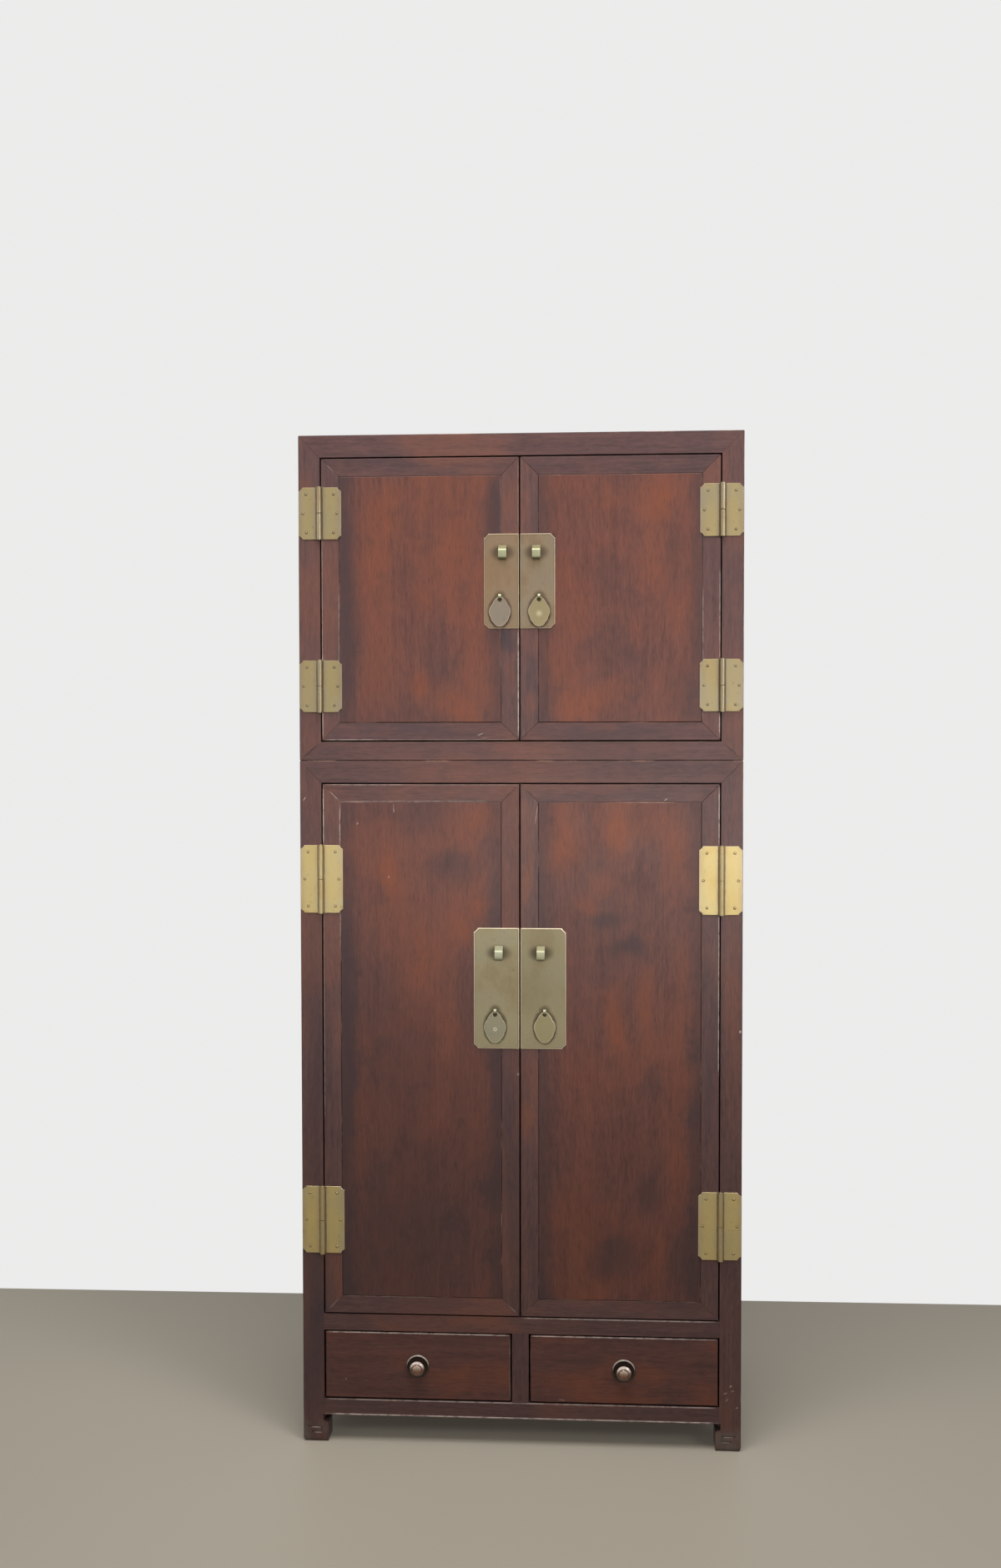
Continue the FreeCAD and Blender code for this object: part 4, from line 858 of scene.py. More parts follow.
def make_materials():
    """Makes every finish once."""
    look = bpy.context.scene.kang_cabinet
    for along in "xyz":
        lacquered_wood(f"frame_wood_{along}", along, look.frame_colour, 1.7)
        lacquered_wood(f"panel_wood_{along}", along, look.panel_colour, 4.3)
        raw_wood(f"inside_wood_{along}", along, look.inside_colour)
    lacquered_wood("door_panel_wood", "z", look.panel_colour, 4.3, True)
    lacquered_wood("drawer_front_wood", "x", look.panel_colour, 2.9)
    brass = look.brass_colour
    tarnish("tarnish", tint(brass, 0.16))
    aged_brass("brass_sheet", brass, 0.4, rims=True, leaves=True)
    aged_brass("brass_round", tint(brass, 0.88), 0.5)
    aged_brass("brass_pale", look.pale_brass_colour, 0.3, EYE_TONE)
    # Dark halos round the eyes, staples and drops, partly grime and partly painted shadow: middle
    # x and z, outer and inner reach, squash in height
    grime_and_shadow_halos = []
    for storey in STOREYS:
        eye_x, eye_z = EYE_PLACES[storey]
        grime_and_shadow_halos.append((eye_x, eye_z, 13 * MM, 5 * MM, 1))
        grime_and_shadow_halos.append((*STAPLE_PLACES[storey], 27 * MM, 10 * MM, 1.6))
        width, height = DROP_SIZES[storey]
        drop_z = eye_z + DROP_RISE - height * 0.51
        grime_and_shadow_halos.append((eye_x, drop_z, width * 0.61, width * 0.5, width / height * 1.02))
    marks = []
    for storey, side, inner, outer, soft, strength in DROP_MARKS:
        eye_x, eye_z = EYE_PLACES[storey]
        mark_z = eye_z + DROP_RISE - DROP_SIZES[storey][1] * 0.58
        radii = (inner * MM, outer * MM, soft * MM)
        marks.append((SIDES[side] * eye_x, mark_z, *radii, strength))
    plate = tint(brass, 0.55, 0.59, 0.67)
    tone = look.upper_plate_patina_and_shade
    aged_brass("brass_plate", plate, 0.65, tone, rims=True, grime_and_shadow_halos=grime_and_shadow_halos)
    aged_brass("brass_drop", tint(plate, 1.05, 1.1, 1.2), 0.4, tone, rims=True, marks=marks)
    aged_brass("brass_rim", look.rim_highlight_colour, 0.3, tone)
    knob_finish("knob_polish", look.knob_colour, look.rubbed_knob_colour)


# Sizes

DOOR_INNER_X = 1.25 * MM
DOOR_OUTER_X = 336.0 * MM
DOOR_HEIGHTS = {
    "upper": (1210.5 * MM, 1686.0 * MM),
    "lower": (226.0 * MM, 1136.0 * MM),
}
DOOR_BACK = FRONT + 24 * MM
MEMBER = 30 * MM
MEMBER_SLOPE = 1.0 * MM
MEMBER_EASE = 1.6
DRAWER_EASE = 3
PANEL_BACK = FRONT + 12 * MM
BATTEN_BACK = PANEL_BACK + 10 * MM
BATTEN_WIDTH = 26 * MM
BATTEN_SHARES = {"upper": (0.25, 0.8), "lower": (0.2, 0.5, 0.8)}

PIVOT_X = 339.25 * MM
PIVOT_Y = -204.3 * MM
LEAF_THICKNESS = 1.6 * MM
LEAF_FRONT = FRONT - LEAF_THICKNESS
LEAF_MIDDLE = 19 * MM
LEAF_WIDTHS = {"door": 37.5 * MM, "frame": 35.0 * MM}
LEAF_HEIGHTS = {"upper": 87.5 * MM, "lower": 115.5 * MM}
HINGE_INSETS = {"upper": 48.0 * MM, "lower": 104.0 * MM}
LEAF_CORNER = (6.0 * MM, 1.5 * MM)
BARREL_OVERHANG = 1.0 * MM
BARREL_RELIEF = 4.0 * MM
SEAM = 0.2 * MM
NAIL_RISE = 11.5 * MM
NAIL_INSETS = (13 * MM, 7 * MM)
NAIL_SIDES = 20
KNUCKLE_SIDES = 32
PIN_SIDES = 24
SHEET_EDGE = 0.35 * MM
PLATE_EDGE = 1.0 * MM

PLATE_SIZES = {"upper": (58.5 * MM, 159.0 * MM), "lower": (77.0 * MM, 205.5 * MM)}
PLATE_BOTTOMS = {"upper": 1398.5 * MM, "lower": 686.5 * MM}
PLATE_CORNER = (6.6 * MM, 1.4 * MM)

EYE_Y = -205.5 * MM
EYE_PLACES = {"upper": (33.05 * MM, 1452.2 * MM), "lower": (42.05 * MM, 751.0 * MM)}
STAPLE_PLACES = {"upper": (28.45 * MM, 1526.5 * MM), "lower": (35.55 * MM, 850.0 * MM)}
EYE_INNER = 2.8 * MM
EYE_STRAP = 1.5 * MM
EYE_WIDTH = 4.6 * MM
EYE_REACH = 20 * MM
LEG_HALF_WIDTH = 1.5 * MM
STEM_HALF_HEIGHT = 1.6 * MM
CLINCH_HALF_HEIGHT = 7.6 * MM
CLINCH_BACK = PANEL_BACK + 1.5 * MM
STEM_FRONT = EYE_Y + EYE_INNER + 0.4 * MM
STRAP_EDGE = 0.4 * MM
RING_EDGE = 0.35 * MM
LEG_EDGE = 0.3 * MM
RING_SIDES = 40

DROP_SIZES = {"upper": (36.0 * MM, 51.5 * MM), "lower": (36.8 * MM, 54.5 * MM)}
DROP_THICKNESS = 2.0 * MM
DROP_EDGE = 0.95 * MM
DROP_RIM = 0.5 * MM
ARC_STEPS = 12
HOLE_SIDES = 36
# Half width and depth of the outline's points, as shares of the drop's size
DROP_OUTLINE = (
    (0, 0), (0.44, 0.12), (0.72, 0.29), (1, 0.48),
    (0.84, 0.69), (0.77, 0.79), (0.58, 0.87), (0, 1),
)
DROP_RISE = 1.0 * MM
DROP_HOLE_BELOW = 5.3 * MM
DROP_HOLE_RADIUS = 3.8 * MM
DROP_HOLE_CLEAR = 1.2 * MM

KNOB_X = 176.375 * MM
KNOB_Z = 135.5 * MM
KNOB_SIDES = 64


# Pieces


TIMBER = {
    "lower_front_left_post": "frame_wood_z",
    "lower_front_right_post": "frame_wood_z",
    "lower_top_front_rail": "frame_wood_x",
    "lower_side_rails": "frame_wood_y",
    "door_sill_rail": "frame_wood_x",
    "bottom_front_rail": "frame_wood_x",
    "drawer_divider": "frame_wood_z",
    "upper_front_left_post": "frame_wood_z",
    "upper_front_right_post": "frame_wood_z",
    "upper_top_front_rail": "frame_wood_x",
    "upper_bottom_front_rail": "frame_wood_x",
    "upper_side_rails": "frame_wood_y",
}
BOARDS = {
    "lower_side_boards": "panel_wood_z",
    "upper_side_boards": "panel_wood_z",
    "lower_top_board": "panel_wood_x",
    "upper_top_board": "panel_wood_x",
}
BACK_FRAMES = ("lower_back_frame", "upper_back_frame")
INSIDE = {
    "lower_back_board": "inside_wood_z",
    "upper_back_board": "inside_wood_z",
    "case_floor": "inside_wood_x",
    "upper_floor_board": "inside_wood_x",
    "shelf": "inside_wood_x",
    "board_bearers": "inside_wood_y",
    "drawer_runners": "inside_wood_y",
    "left_drawer_box": "inside_wood_y",
    "right_drawer_box": "inside_wood_y",
}


class KANG_OT_timber(bpy.types.Operator):
    """Posts, rails and boards with eased arrises"""

    bl_idname = "kang_cabinet.timber"
    bl_label = "Posts, Rails and Boards"

    def execute(self, context):
        edge = context.scene.kang_cabinet.eased_edge
        for nodes, slot in ((TIMBER, "frame_wood"), (BOARDS, "panel_wood")):
            for node, wood in nodes.items():
                eased(node, edge, wood)
        for node in BACK_FRAMES:
            repaint(node, "frame_wood_z")
        for node, wood in INSIDE.items():
            repaint(node, wood)
        return {"FINISHED"}


def mitred_member(name, low, high, ends, inner, wood):
    """One mitred member of a door frame, with its inner front arris let back."""
    piece = block(name, low, high)
    for point, normal in ends:
        open_mesh(piece)
        bpy.ops.mesh.bisect(plane_co=point, plane_no=normal, use_fill=True, clear_outer=True)
        close_mesh()
    axis, edge = inner

    def on_arris(place):
        return abs(place[axis] - edge) < SOLID_WELD and place.y < FRONT + SOLID_WELD

    open_mesh(piece)
    pick_vertices(piece, on_arris)
    bpy.ops.transform.translate(value=(0, MEMBER_SLOPE, 0))
    close_mesh()
    paint(piece, wood)
    return piece


def door_members(door, side, bottom, top):
    """The four members of one door frame."""
    near, far = sorted((side * DOOR_INNER_X, side * DOOR_OUTER_X))
    members = []
    for edge, toward in ((near, 1), (far, -1)):
        inner = edge + toward * MEMBER
        low = (min(edge, inner), FRONT, bottom)
        high = (max(edge, inner), DOOR_BACK, top)
        ends = (((edge, 0, bottom), (toward, 0, -1)), ((edge, 0, top), (toward, 0, 1)))
        stile = mitred_member(door + "_stile", low, high, ends, (0, inner), "frame_wood_z")
        members.append(stile)
    for edge, toward in ((bottom, 1), (top, -1)):
        inner = edge + toward * MEMBER
        low = (near, FRONT, min(edge, inner))
        high = (far, DOOR_BACK, max(edge, inner))
        ends = (((near, 0, edge), (-1, 0, toward)), ((far, 0, edge), (1, 0, toward)))
        rail = mitred_member(door + "_rail", low, high, ends, (2, inner), "frame_wood_x")
        members.append(rail)
    return members


class KANG_OT_door_frames(bpy.types.Operator):
    """Mitred door frames with battens across the back"""

    bl_idname = "kang_cabinet.door_frames"
    bl_label = "Door Frames"

    def execute(self, context):
        look = context.scene.kang_cabinet
        for storey, name, side in each_door():
            door = name + "_door"
            bottom, top = DOOR_HEIGHTS[storey]
            members = door_members(door, side, bottom, top)
            near, far = sorted((side * (DOOR_INNER_X + MEMBER), side * (DOOR_OUTER_X - MEMBER)))
            for share in BATTEN_SHARES[storey]:
                low = bottom + share * (top - bottom) - BATTEN_WIDTH / 2
                corners = (near, PANEL_BACK, low), (far, BATTEN_BACK, low + BATTEN_WIDTH)
                batten = block(door + "_batten", *corners)
                paint(batten, "frame_wood_x")
                members.append(batten)
            for member in members:
                soften(member, look.eased_edge * MEMBER_EASE)
            piece = join(door + "_frame_members", members)
            stand_for(piece, door + "_frame")
        return {"FINISHED"}


def mark_places(piece, number):
    """Notes each corner's place on a board: share across, height in metres, board number."""
    across = [vertex.co.x for vertex in piece.data.vertices]
    heights = [vertex.co.z for vertex in piece.data.vertices]
    middle_x, middle_z = [(min(parts) + max(parts)) / 2 for parts in (across, heights)]
    half = (max(across) - min(across)) / 2
    attribute = piece.data.attributes.new("place", "FLOAT_VECTOR", "POINT")
    for x, z, item in zip(across, heights, attribute.data):
        item.vector = ((x - middle_x) / half, z - middle_z, number)


class KANG_OT_panels(bpy.types.Operator):
    """Door panels and drawer fronts with eased arrises"""

    bl_idname = "kang_cabinet.panels"
    bl_label = "Door Panels and Drawer Fronts"

    def execute(self, context):
        edge = context.scene.kang_cabinet.eased_edge
        for number, (_, door, _) in enumerate(each_door()):
            piece = eased(door + "_door_panel", edge, "door_panel_wood")
            mark_places(piece, number)
        for side in SIDES:
            node = side + "_drawer_front"
            eased(node, edge * DRAWER_EASE, "drawer_front_wood")
        return {"FINISHED"}


# Turned profiles of the hinges' nails, knuckles and pins: radius and reach in millimetres
NAIL_RINGS = ((0.8, -6.0), (0.8, -0.05), (1.9, -0.05), (1.85, 0.35), (1.5, 0.72), (0.8, 0.96))
SEAT_RINGS = ((2.2, -0.3), (2.5, 0.04), (2.2, 0.05))
KNUCKLE_END = [(3.9, 0), (4.25, 0.1), (4.6, 0.35)]
PIN_END = [(1.2, -0.8), (2.2, -0.6), (2.6, -0.2), (2.6, 0), (1.8, 0)]


def nail_heads(name, places):
    """Low domed nail heads on tarnished seats."""
    heads = []
    for x, z in places:
        for rings, finish in ((NAIL_RINGS, "brass_round"), (SEAT_RINGS, "tarnish")):
            head = turned(name, (x, LEAF_FRONT, z), "front", rings, NAIL_SIDES)
            paint(head, finish)
            heads.append(head)
    return join(name, heads)


def far_edge(width, height, corner, notch):
    """A sheet's far edge, with both its corners clipped and notched."""
    edge = [(width - corner, 0), (width - corner, notch), (width - notch, corner), (width, corner)]
    return edge + [(x, height - z) for x, z in reversed(edge)]


def leaf_outline(start, away, low, span, knuckle_up):
    """Outline of a hinge leaf, let back beside the other leaf's knuckle."""
    height = span[1]
    seam = height / 2
    relief = BARREL_RELIEF
    if knuckle_up:
        inner = [(0, height), (0, seam), (relief, seam), (relief, 0)]
    else:
        inner = [(relief, height), (relief, seam), (0, seam), (0, 0)]
    return [(start + away * x, low + z) for x, z in inner + far_edge(*span, *LEAF_CORNER)]


def barrel(name, x, low, high, end, sides):
    """A knuckle or pin of a hinge, turned the same at both ends."""
    length = (high - low) / MM
    rings = end + [(radius, length - reach) for radius, reach in reversed(end)]
    piece = turned(name, (x, PIVOT_Y, low), "z", rings, sides)
    paint(piece, "brass_round")
    return piece


def leaf(name, side, kind, low, height):
    """One hinge leaf with its knuckle, and the places of its nails."""
    x = side * PIVOT_X
    width = LEAF_WIDTHS[kind]
    seam, high = low + height / 2, low + height
    if kind == "door":
        away, ends = -side, (seam + SEAM, high + BARREL_OVERHANG)
    else:
        away, ends = side, (low - BARREL_OVERHANG, seam - SEAM)
    outline = leaf_outline(x, away, low, (width, height), kind == "door")
    sheet = cut_sheet(name, [outline], LEAF_FRONT, LEAF_THICKNESS, SHEET_EDGE)
    paint(sheet, "brass_sheet")
    rolled = barrel(name, x, *ends, KNUCKLE_END, KNUCKLE_SIDES)
    end_x, middle_x = [x + away * (width - inset) for inset in NAIL_INSETS]
    nails = [(end_x, low + NAIL_RISE), (middle_x, seam), (end_x, high - NAIL_RISE)]
    return [sheet, rolled], nails


class KANG_OT_hinges(bpy.types.Operator):
    """Brass hinges: leaves with rolled knuckles, pins and nails"""

    bl_idname = "kang_cabinet.hinges"
    bl_label = "Hinges"

    def execute(self, context):
        for storey in STOREYS:
            bottom, top = DOOR_HEIGHTS[storey]
            height = LEAF_HEIGHTS[storey]
            inset = HINGE_INSETS[storey]
            case_parts, case_nails = [], []
            for side_name, side in SIDES.items():
                door = f"{storey}_{side_name}_door"
                door_parts, door_nails = [], []
                for low in (bottom + inset, top - inset - height):
                    parts, nails = leaf(door, side, "door", low, height)
                    door_parts += parts
                    door_nails += nails
                    parts, nails = leaf(storey, side, "frame", low, height)
                    case_parts += parts
                    case_nails += nails
                    ends = low - BARREL_OVERHANG, low + height + BARREL_OVERHANG
                    pin = barrel(storey, side * PIVOT_X, *ends, PIN_END, PIN_SIDES)
                    case_parts.append(pin)
                leaves = join(door + "_hinge_leaves", door_parts)
                stand_for(leaves, door + "_leaves")
                heads = nail_heads(door + "_hinge_nails", door_nails)
                stand_for(heads, door + "_leaves")
            leaves = join(storey + "_case_hinge_leaves", case_parts)
            stand_for(leaves, storey + "_frame_hinges")
            heads = nail_heads(storey + "_case_hinge_nails", case_nails)
            stand_for(heads, storey + "_frame_nails")
        return {"FINISHED"}


def plate_outline(storey, side):
    """Outline of a lock plate, square at the meeting edge and cut at the far corners."""
    width, height = PLATE_SIZES[storey]
    low = PLATE_BOTTOMS[storey]
    points = [(0, 0), *far_edge(width, height, *PLATE_CORNER), (0, height)]
    return [(side * (DOOR_INNER_X + x), low + z) for x, z in points]


class KANG_OT_lock_plates(bpy.types.Operator):
    """The four lock plates"""

    bl_idname = "kang_cabinet.lock_plates"
    bl_label = "Lock Plates"

    def execute(self, context):
        for storey, door, side in each_door():
            node = door + "_lock_plate"
            outline = plate_outline(storey, side)
            piece = cut_sheet(node + "_sheet", [outline], LEAF_FRONT, LEAF_THICKNESS, PLATE_EDGE)
            paint(piece, "brass_plate")
            stand_for(piece, node)
        return {"FINISHED"}


def eye_ring(name, x, z):
    """A strap bent round into a ring."""
    bpy.ops.mesh.primitive_cylinder_add(
        vertices=RING_SIDES,
        radius=EYE_INNER + EYE_STRAP,
        depth=EYE_WIDTH,
        end_fill_type="NOTHING",
        location=(x, EYE_Y, z),
        rotation=AXES["x"][1],
    )
    ring = settle(bpy.context.object, name)
    wall = ring.modifiers.new("Strap", "SOLIDIFY")
    wall.thickness = EYE_STRAP
    wall.offset = -1
    bpy.ops.object.modifier_apply(modifier=wall.name)
    soften(ring, RING_EDGE, degrees=50)
    paint(ring, "brass_pale")
    return ring


class KANG_OT_staples(bpy.types.Operator):
    """The staples for a padlock's bar, and the cotter eyes of the drops"""

    bl_idname = "kang_cabinet.staples"
    bl_label = "Staples and Eyes"

    def execute(self, context):
        for storey, door, side in each_door():
            node = door + "_staple_and_eye"
            eye_x, eye_z = EYE_PLACES[storey]
            eye_x *= side
            eye_top = eye_z + EYE_REACH
            staple = copy_of(node, node + "_strap")
            open_mesh(staple)
            pick_vertices(staple, lambda place, eye_top=eye_top: place.z < eye_top)
            bpy.ops.mesh.delete(type="VERT")
            close_mesh()
            soften(staple, STRAP_EDGE)
            paint(staple, "brass_pale")
            parts = [staple, eye_ring(node + "_ring", eye_x, eye_z)]
            legs = {
                "_stem": (STEM_FRONT, STEM_HALF_HEIGHT),
                "_clinch": (PANEL_BACK, CLINCH_HALF_HEIGHT),
            }
            for name, (front, reach) in legs.items():
                low = (eye_x - LEG_HALF_WIDTH, front, eye_z - reach)
                high = (eye_x + LEG_HALF_WIDTH, CLINCH_BACK, eye_z + reach)
                leg = block(node + name, low, high)
                soften(leg, LEG_EDGE)
                paint(leg, "brass_round")
                parts.append(leg)
            stand_for(join(node + "_brass", parts), node)
        return {"FINISHED"}


def arc_through(start, through, end):
    """Points on the circle through three points, without the last one."""
    ax, az = start
    bx, bz = through
    cx, cz = end
    twice = 2 * (ax * (bz - cz) + bx * (cz - az) + cx * (az - bz))
    a2, b2, c2 = ax * ax + az * az, bx * bx + bz * bz, cx * cx + cz * cz
    ox = (a2 * (bz - cz) + b2 * (cz - az) + c2 * (az - bz)) / twice
    oz = (a2 * (cx - bx) + b2 * (ax - cx) + c2 * (bx - ax)) / twice
    first, middle, last = [math.atan2(z - oz, x - ox) for x, z in (start, through, end)]
    sweep = (last - first) % math.tau
    if (middle - first) % math.tau > sweep:
        sweep -= math.tau
    turns = [first + sweep * step / ARC_STEPS for step in range(ARC_STEPS)]
    return round_points(ox, oz, math.hypot(ax - ox, az - oz), turns)


def round_points(x, z, radius, turns):
    """Points round a centre, at the given turns."""
    return [(x + radius * math.cos(turn), z + radius * math.sin(turn)) for turn in turns]


class KANG_OT_drops(bpy.types.Operator):
    """The four lobed drop handles"""

    bl_idname = "kang_cabinet.drops"
    bl_label = "Drop Handles"

    def execute(self, context):
        hole_turns = [math.tau * step / HOLE_SIDES for step in range(HOLE_SIDES)]
        for storey, door, side in each_door():
            node = door + "_drop_handle"
            width, height = DROP_SIZES[storey]
            eye_x, eye_z = EYE_PLACES[storey]
            eye_x *= side
            right = [
                (eye_x + width / 2 * share, eye_z + DROP_RISE - height * down)
                for share, down in DROP_OUTLINE
            ]
            around = right + [(2 * eye_x - x, z) for x, z in reversed(right[:-1])]
            outline = []
            for index in range(0, len(around) - 2, 2):
                outline += arc_through(*around[index : index + 3])
            hole_z = eye_z - DROP_HOLE_BELOW
            hole = round_points(eye_x, hole_z, DROP_HOLE_RADIUS, hole_turns)
            front = EYE_Y - DROP_THICKNESS / 2
            outlines = [outline, hole]
            piece = cut_sheet(node + "_lobed", outlines, front, DROP_THICKNESS, DROP_EDGE)
            paint(piece, "brass_drop")
            reach = DROP_HOLE_RADIUS + DROP_HOLE_CLEAR
            # The pale strip round each drop's edge is partly rubbed brass and partly a painted
            # highlight.
            rim_faces(piece, DROP_RIM, "brass_rim", (eye_x, hole_z), reach)
            stand_for(piece, node)
        return {"FINISHED"}


# Turned profiles of the knobs: radius and reach in millimetres
ROSETTE_RINGS = (
    (19.0, 0.0), (19.8, 0.3), (20.0, 0.9), (19.8, 1.6), (19.2, 2.4), (18.4, 2.9),
    (17.4, 3.0), (16.6, 2.8), (15.8, 2.35), (14.5, 2.2), (7.0, 2.2),
)
KNOB_RINGS = (
    (5.0, -18.0), (5.0, 2.2), (6.5, 2.2), (6.3, 3.4), (6.5, 5.0), (7.6, 6.6), (10.0, 8.6),
    (12.0, 9.9), (12.5, 10.8), (12.5, 12.2), (12.2, 13.0), (11.2, 13.6), (9.9, 14.2),
    (9.4, 14.9), (9.3, 16.0), (8.8, 17.9), (7.6, 19.4), (5.8, 20.4), (3.4, 20.9), (1.2, 21.0),
)


class KANG_OT_knobs(bpy.types.Operator):
    """The turned drawer knobs on their rosettes"""

    bl_idname = "kang_cabinet.knobs"
    bl_label = "Drawer Knobs"

    def execute(self, context):
        for side_name, side in SIDES.items():
            node = side_name + "_drawer_knob"
            start = (side * KNOB_X, FRONT, KNOB_Z)
            parts = [
                turned(node + "_rosette", start, "front", ROSETTE_RINGS, KNOB_SIDES),
                turned(node + "_turned", start, "front", KNOB_RINGS, KNOB_SIDES),
            ]
            piece = join(node + "_turned", parts)
            paint(piece, "knob_polish")
            stand_for(piece, node)
        return {"FINISHED"}


# Stage


CAMERA_PLACE = Vector((0.1235, -2.8031, 1.2239))
CAMERA_YAW = 0.05986
CAMERA_PITCH = 0.0335
CAMERA_ROLL = -0.00144
CAMERA_LENS = 35.43
CAMERA_SENSOR = 36.0
CAMERA_REACH = 40.0
FLOOR_BACK = 0.501
FLOOR_SIZE = (16, 8)
FLOOR_TURN = 0.01
KEY_AIM = (0.0, -0.2, 1.25)
WARM_WHITE = (1, 0.97, 0.93)
BACKDROP_WHITE = (1.0, 0.995, 0.99, 1)
# Each lamp's place, aim, size and spread in degrees
LAMPS = {
    "right_lamp": ((2.0, -2.2, 1.9), KEY_AIM, (1.1, 0.9), 54),
    "left_lamp": ((-2.1, -2.2, 1.9), KEY_AIM, (1.1, 0.9), 54),
    "low_lamp": ((0.5, -2.95, 0.8), (0.3, -0.2, 1.05), (2.0, 0.35), 36),
    "overhead_lamp": ((0.0, -1.2, 3.1), (0.0, -0.9, 0.0), (1.8, 1.4), 180),
}


def place_camera():
    """A camera at the photograph's place, turned a little left and down."""
    bpy.ops.object.camera_add(location=CAMERA_PLACE)
    camera = bpy.context.object
    camera.name = "camera"
    place = Matrix.Translation(CAMERA_PLACE)
    for angle, axis in ((CAMERA_YAW, "Z"), (math.pi / 2 - CAMERA_PITCH, "X"), (CAMERA_ROLL, "Z")):
        place = place @ Matrix.Rotation(angle, 4, axis)
    camera.matrix_world = place
    camera.data.lens = CAMERA_LENS
    camera.data.sensor_width = CAMERA_SENSOR
    camera.data.sensor_fit = "AUTO"
    camera.data.clip_end = CAMERA_REACH
    bpy.context.scene.camera = camera


def area_light(name, power, place, target, size, spread):
    """A soft warm lamp that looks at a point."""
    bpy.ops.object.light_add(type="AREA", location=place)
    lamp = bpy.context.object
    lamp.name = name
    lamp.data.shape = "RECTANGLE"
    lamp.data.size, lamp.data.size_y = size
    lamp.data.energy = power
    lamp.data.color = WARM_WHITE
    lamp.data.spread = math.radians(spread)
    aim = Vector(target) - Vector(place)
    lamp.rotation_euler = aim.to_track_quat("-Z", "Y").to_euler()


def seen_rays(nodes, links):
    """A factor that is 1 for what the camera, gloss and glass see."""
    path = nodes.new("ShaderNodeLightPath")
    seen = path.outputs["Is Camera Ray"]
    for ray in ("Is Glossy Ray", "Is Transmission Ray"):
        larger = nodes.new("ShaderNodeMath")
        larger.operation = "MAXIMUM"
        links.new(seen, larger.inputs[0])
        links.new(path.outputs[ray], larger.inputs[1])
        seen = larger.outputs[0]
    return seen


def pale_floor(name, colour, glow):
    """A plain pale floor that keeps the cabinet's shadow."""
    palette = Palette(name, colour)
    cloud = palette.noise(palette.place(), 1.5, 3.0)
    palette.base = tint(colour, 0.97)
    palette.lay(cloud, tint(colour, 1.03))
    seen = Wire(palette, seen_rays(palette.nodes, palette.links))
    shine = palette.mix(seen, (0, 0, 0), tint(colour, glow))
    palette.finish({"Roughness": 0.6, "Emission Strength": 1.0, "Emission Color": shine})


class KANG_OT_stage(bpy.types.Operator):
    """Pale floor and background, soft lamps and the camera"""

    bl_idname = "kang_cabinet.stage"
    bl_label = "Stage"

    def execute(self, context):
        look = context.scene.kang_cabinet
        width, depth = FLOOR_SIZE
        bpy.ops.mesh.primitive_plane_add(size=1, location=(0, FLOOR_BACK - depth / 2, 0))
        floor = bpy.context.object
        floor.scale = (width, depth, 1)
        floor.rotation_euler = (0, 0, FLOOR_TURN)
        settle(floor, "floor")
        pale_floor("pale_floor", look.floor_colour, look.floor_glow)
        paint(floor, "pale_floor")
        left_power = look.key_power * look.left_share
        powers = (look.key_power, left_power, look.low_power, look.overhead_power)
        for (name, settings), power in zip(LAMPS.items(), powers):
            area_light(name, power, *settings)
        self.make_world(context.scene, look)
        context.scene.view_settings.view_transform = "Standard"
        place_camera()
        return {"FINISHED"}

    def make_world(self, scene, look):
        """An even soft light, and a pale background that metal reflects as well."""
        world = bpy.data.worlds.new("pale_room")
        scene.world = world
        world.use_nodes = True
        nodes, links = world.node_tree.nodes, world.node_tree.links
        strength = nodes.new("ShaderNodeMapRange")
        links.new(seen_rays(nodes, links), strength.inputs[0])
        strength.inputs[3].default_value = look.ambient
        strength.inputs[4].default_value = look.backdrop
        background = nodes["Background"]
        links.new(strength.outputs[0], background.inputs["Strength"])
        background.inputs["Color"].default_value = BACKDROP_WHITE


# Add-on


def number(name, description, default, **kind):
    """A number that a user would change."""
    return bpy.props.FloatProperty(name=name, description=description, default=default, **kind)


def colour(name, description, default):
    """A colour that a user would change."""
    return bpy.props.FloatVectorProperty(
        name=name, description=description, default=default, subtype="COLOR"
    )


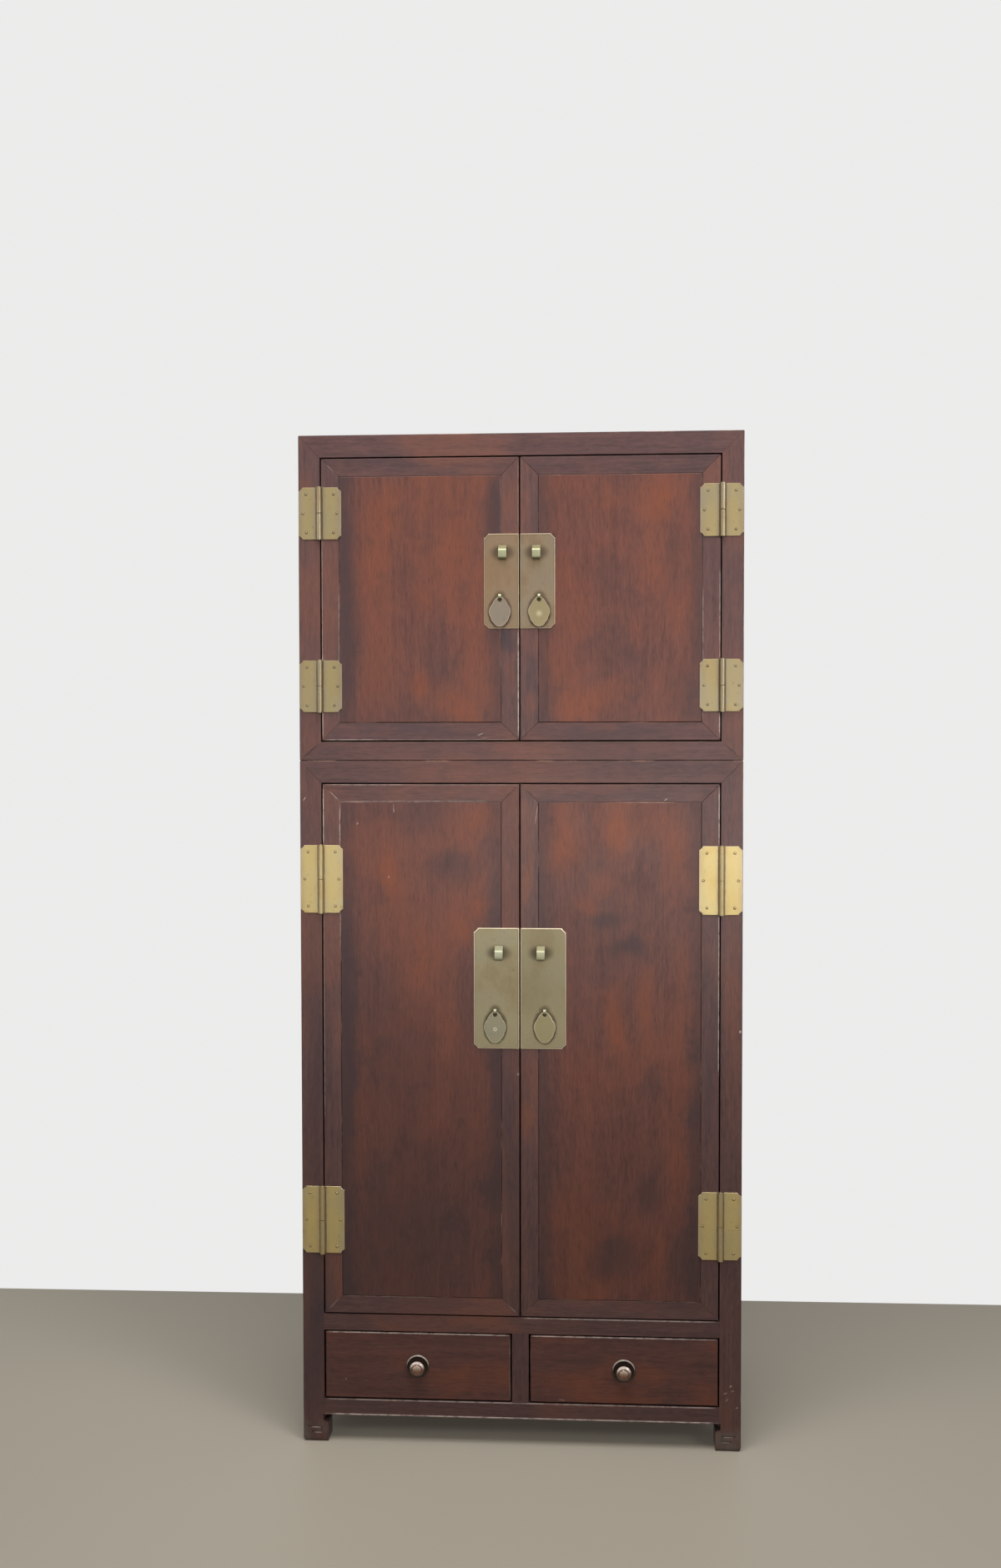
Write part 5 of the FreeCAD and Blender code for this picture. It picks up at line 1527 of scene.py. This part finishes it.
class KangCabinetSettings(bpy.types.PropertyGroup):
    """Sizes and colours that a user would change."""

    eased_edge: number(
        "Eased Edge", "Width of the rounding on the timber's edges", 0.0004, unit="LENGTH"
    )
    grain_strength: number(
        "Grain Strength", "How strongly the grain shows", 0.85, subtype="FACTOR"
    )
    wear: number("Wear", "How much lacquer is rubbed off the arrises", 0.7, subtype="FACTOR")
    gloss_roughness: number("Lacquer Roughness", "Lower is glossier", 0.3, subtype="FACTOR")
    frame_colour: colour(
        "Frame Colour", "Colour of the lacquered frame", (0.108, 0.057, 0.054)
    )
    panel_colour: colour(
        "Panel Colour", "Colour of the lacquered panels and drawer fronts", (0.112, 0.049, 0.042)
    )
    worn_colour: colour(
        "Worn Colour", "Colour where the lacquer is rubbed off", (0.32, 0.20, 0.15)
    )
    # Colour of the pale lines, which are partly scuff marks and partly painted highlights on
    # arrises.
    scuff_and_highlight_colour: colour(
        "Scuff Colour", "Colour of the pale scuffed lines", (0.44, 0.36, 0.33)
    )
    dust_colour: colour("Dust Colour", "Colour of the dust on the feet", (0.15, 0.135, 0.12))
    inside_colour: colour(
        "Inside Colour", "Colour of the bare wood inside", (0.30, 0.19, 0.11)
    )
    brass_colour: colour("Brass Colour", "Colour of the aged brass", (0.46, 0.37, 0.20))
    pale_brass_colour: colour(
        "Pale Brass Colour", "Colour of the staples and eyes", (0.33, 0.33, 0.22)
    )
    # The rim colour is partly rubbed brass and partly a painted highlight along the drops' edges.
    rim_highlight_colour: colour(
        "Rim Colour", "Colour of the brass along rubbed edges", (0.52, 0.46, 0.31)
    )
    # The upper brass darkening is partly patina and partly painted shade.
    upper_patina_and_shade: colour(
        "Upper Patina", "Darkening of the brass on the upper cabinet", (0.60, 0.61, 0.70)
    )
    # The upper plates' tone is partly patina and partly painted shade.
    upper_plate_patina_and_shade: colour(
        "Upper Plate Patina",
        "Tone of the upper lock plates against the lower ones",
        (0.92, 0.82, 0.88),
    )
    knob_colour: colour("Knob Colour", "Colour of the dark knobs", (0.030, 0.017, 0.013))
    rubbed_knob_colour: colour(
        "Rubbed Knob Colour", "Colour of the knobs where hands rub them", (0.22, 0.105, 0.066)
    )
    floor_colour: colour("Floor Colour", "Colour of the pale floor", (0.50, 0.46, 0.38))
    floor_glow: number(
        "Floor Glow",
        "Share of the floor's colour that it shows without any lamp",
        0.06,
        subtype="FACTOR",
    )
    overhead_power: number(
        "Overhead Lamp", "Power of the large soft lamp overhead", 51.0, unit="POWER"
    )
    key_power: number("Key Lamp", "Power of the soft lamp on the right", 4.7, unit="POWER")
    left_share: number(
        "Left Lamp", "Power of the left lamp as a share of the right one", 0.38, subtype="FACTOR"
    )
    low_power: number(
        "Low Lamp", "Power of the low lamp that the brass catches", 0.9, unit="POWER"
    )
    ambient: number("Ambient Light", "Strength of the even light from all sides", 0.13)
    backdrop: number("Background", "Brightness of the pale background", 0.84)


OPERATORS = (
    KANG_OT_timber,
    KANG_OT_door_frames,
    KANG_OT_panels,
    KANG_OT_hinges,
    KANG_OT_lock_plates,
    KANG_OT_staples,
    KANG_OT_drops,
    KANG_OT_knobs,
    KANG_OT_stage,
)


class KANG_PT_sidebar(bpy.types.Panel):
    """Lists the cabinet's pieces and settings"""

    bl_idname = "KANG_PT_sidebar"
    bl_label = "Kang Cabinet"
    bl_space_type = "VIEW_3D"
    bl_region_type = "UI"
    bl_category = "Kang Cabinet"

    def draw(self, context):
        look = context.scene.kang_cabinet
        for name in KangCabinetSettings.__annotations__:
            self.layout.prop(look, name)
        for operator in OPERATORS:
            self.layout.operator(operator.bl_idname)


CLASSES = (KangCabinetSettings, *OPERATORS, KANG_PT_sidebar)


def register():
    """Registers the classes and the scene's settings."""
    for item in CLASSES:
        bpy.utils.register_class(item)
    bpy.types.Scene.kang_cabinet = bpy.props.PointerProperty(type=KangCabinetSettings)


def unregister():
    """Takes the classes and settings away again."""
    del bpy.types.Scene.kang_cabinet
    for item in reversed(CLASSES):
        bpy.utils.unregister_class(item)


def main():
    """Makes every piece."""
    register()
    make_materials()
    ops = bpy.ops.kang_cabinet
    ops.timber()
    ops.door_frames()
    ops.panels()
    ops.hinges()
    ops.lock_plates()
    ops.staples()
    ops.drops()
    ops.knobs()
    ops.stage()


if __name__ == "__main__":
    main()
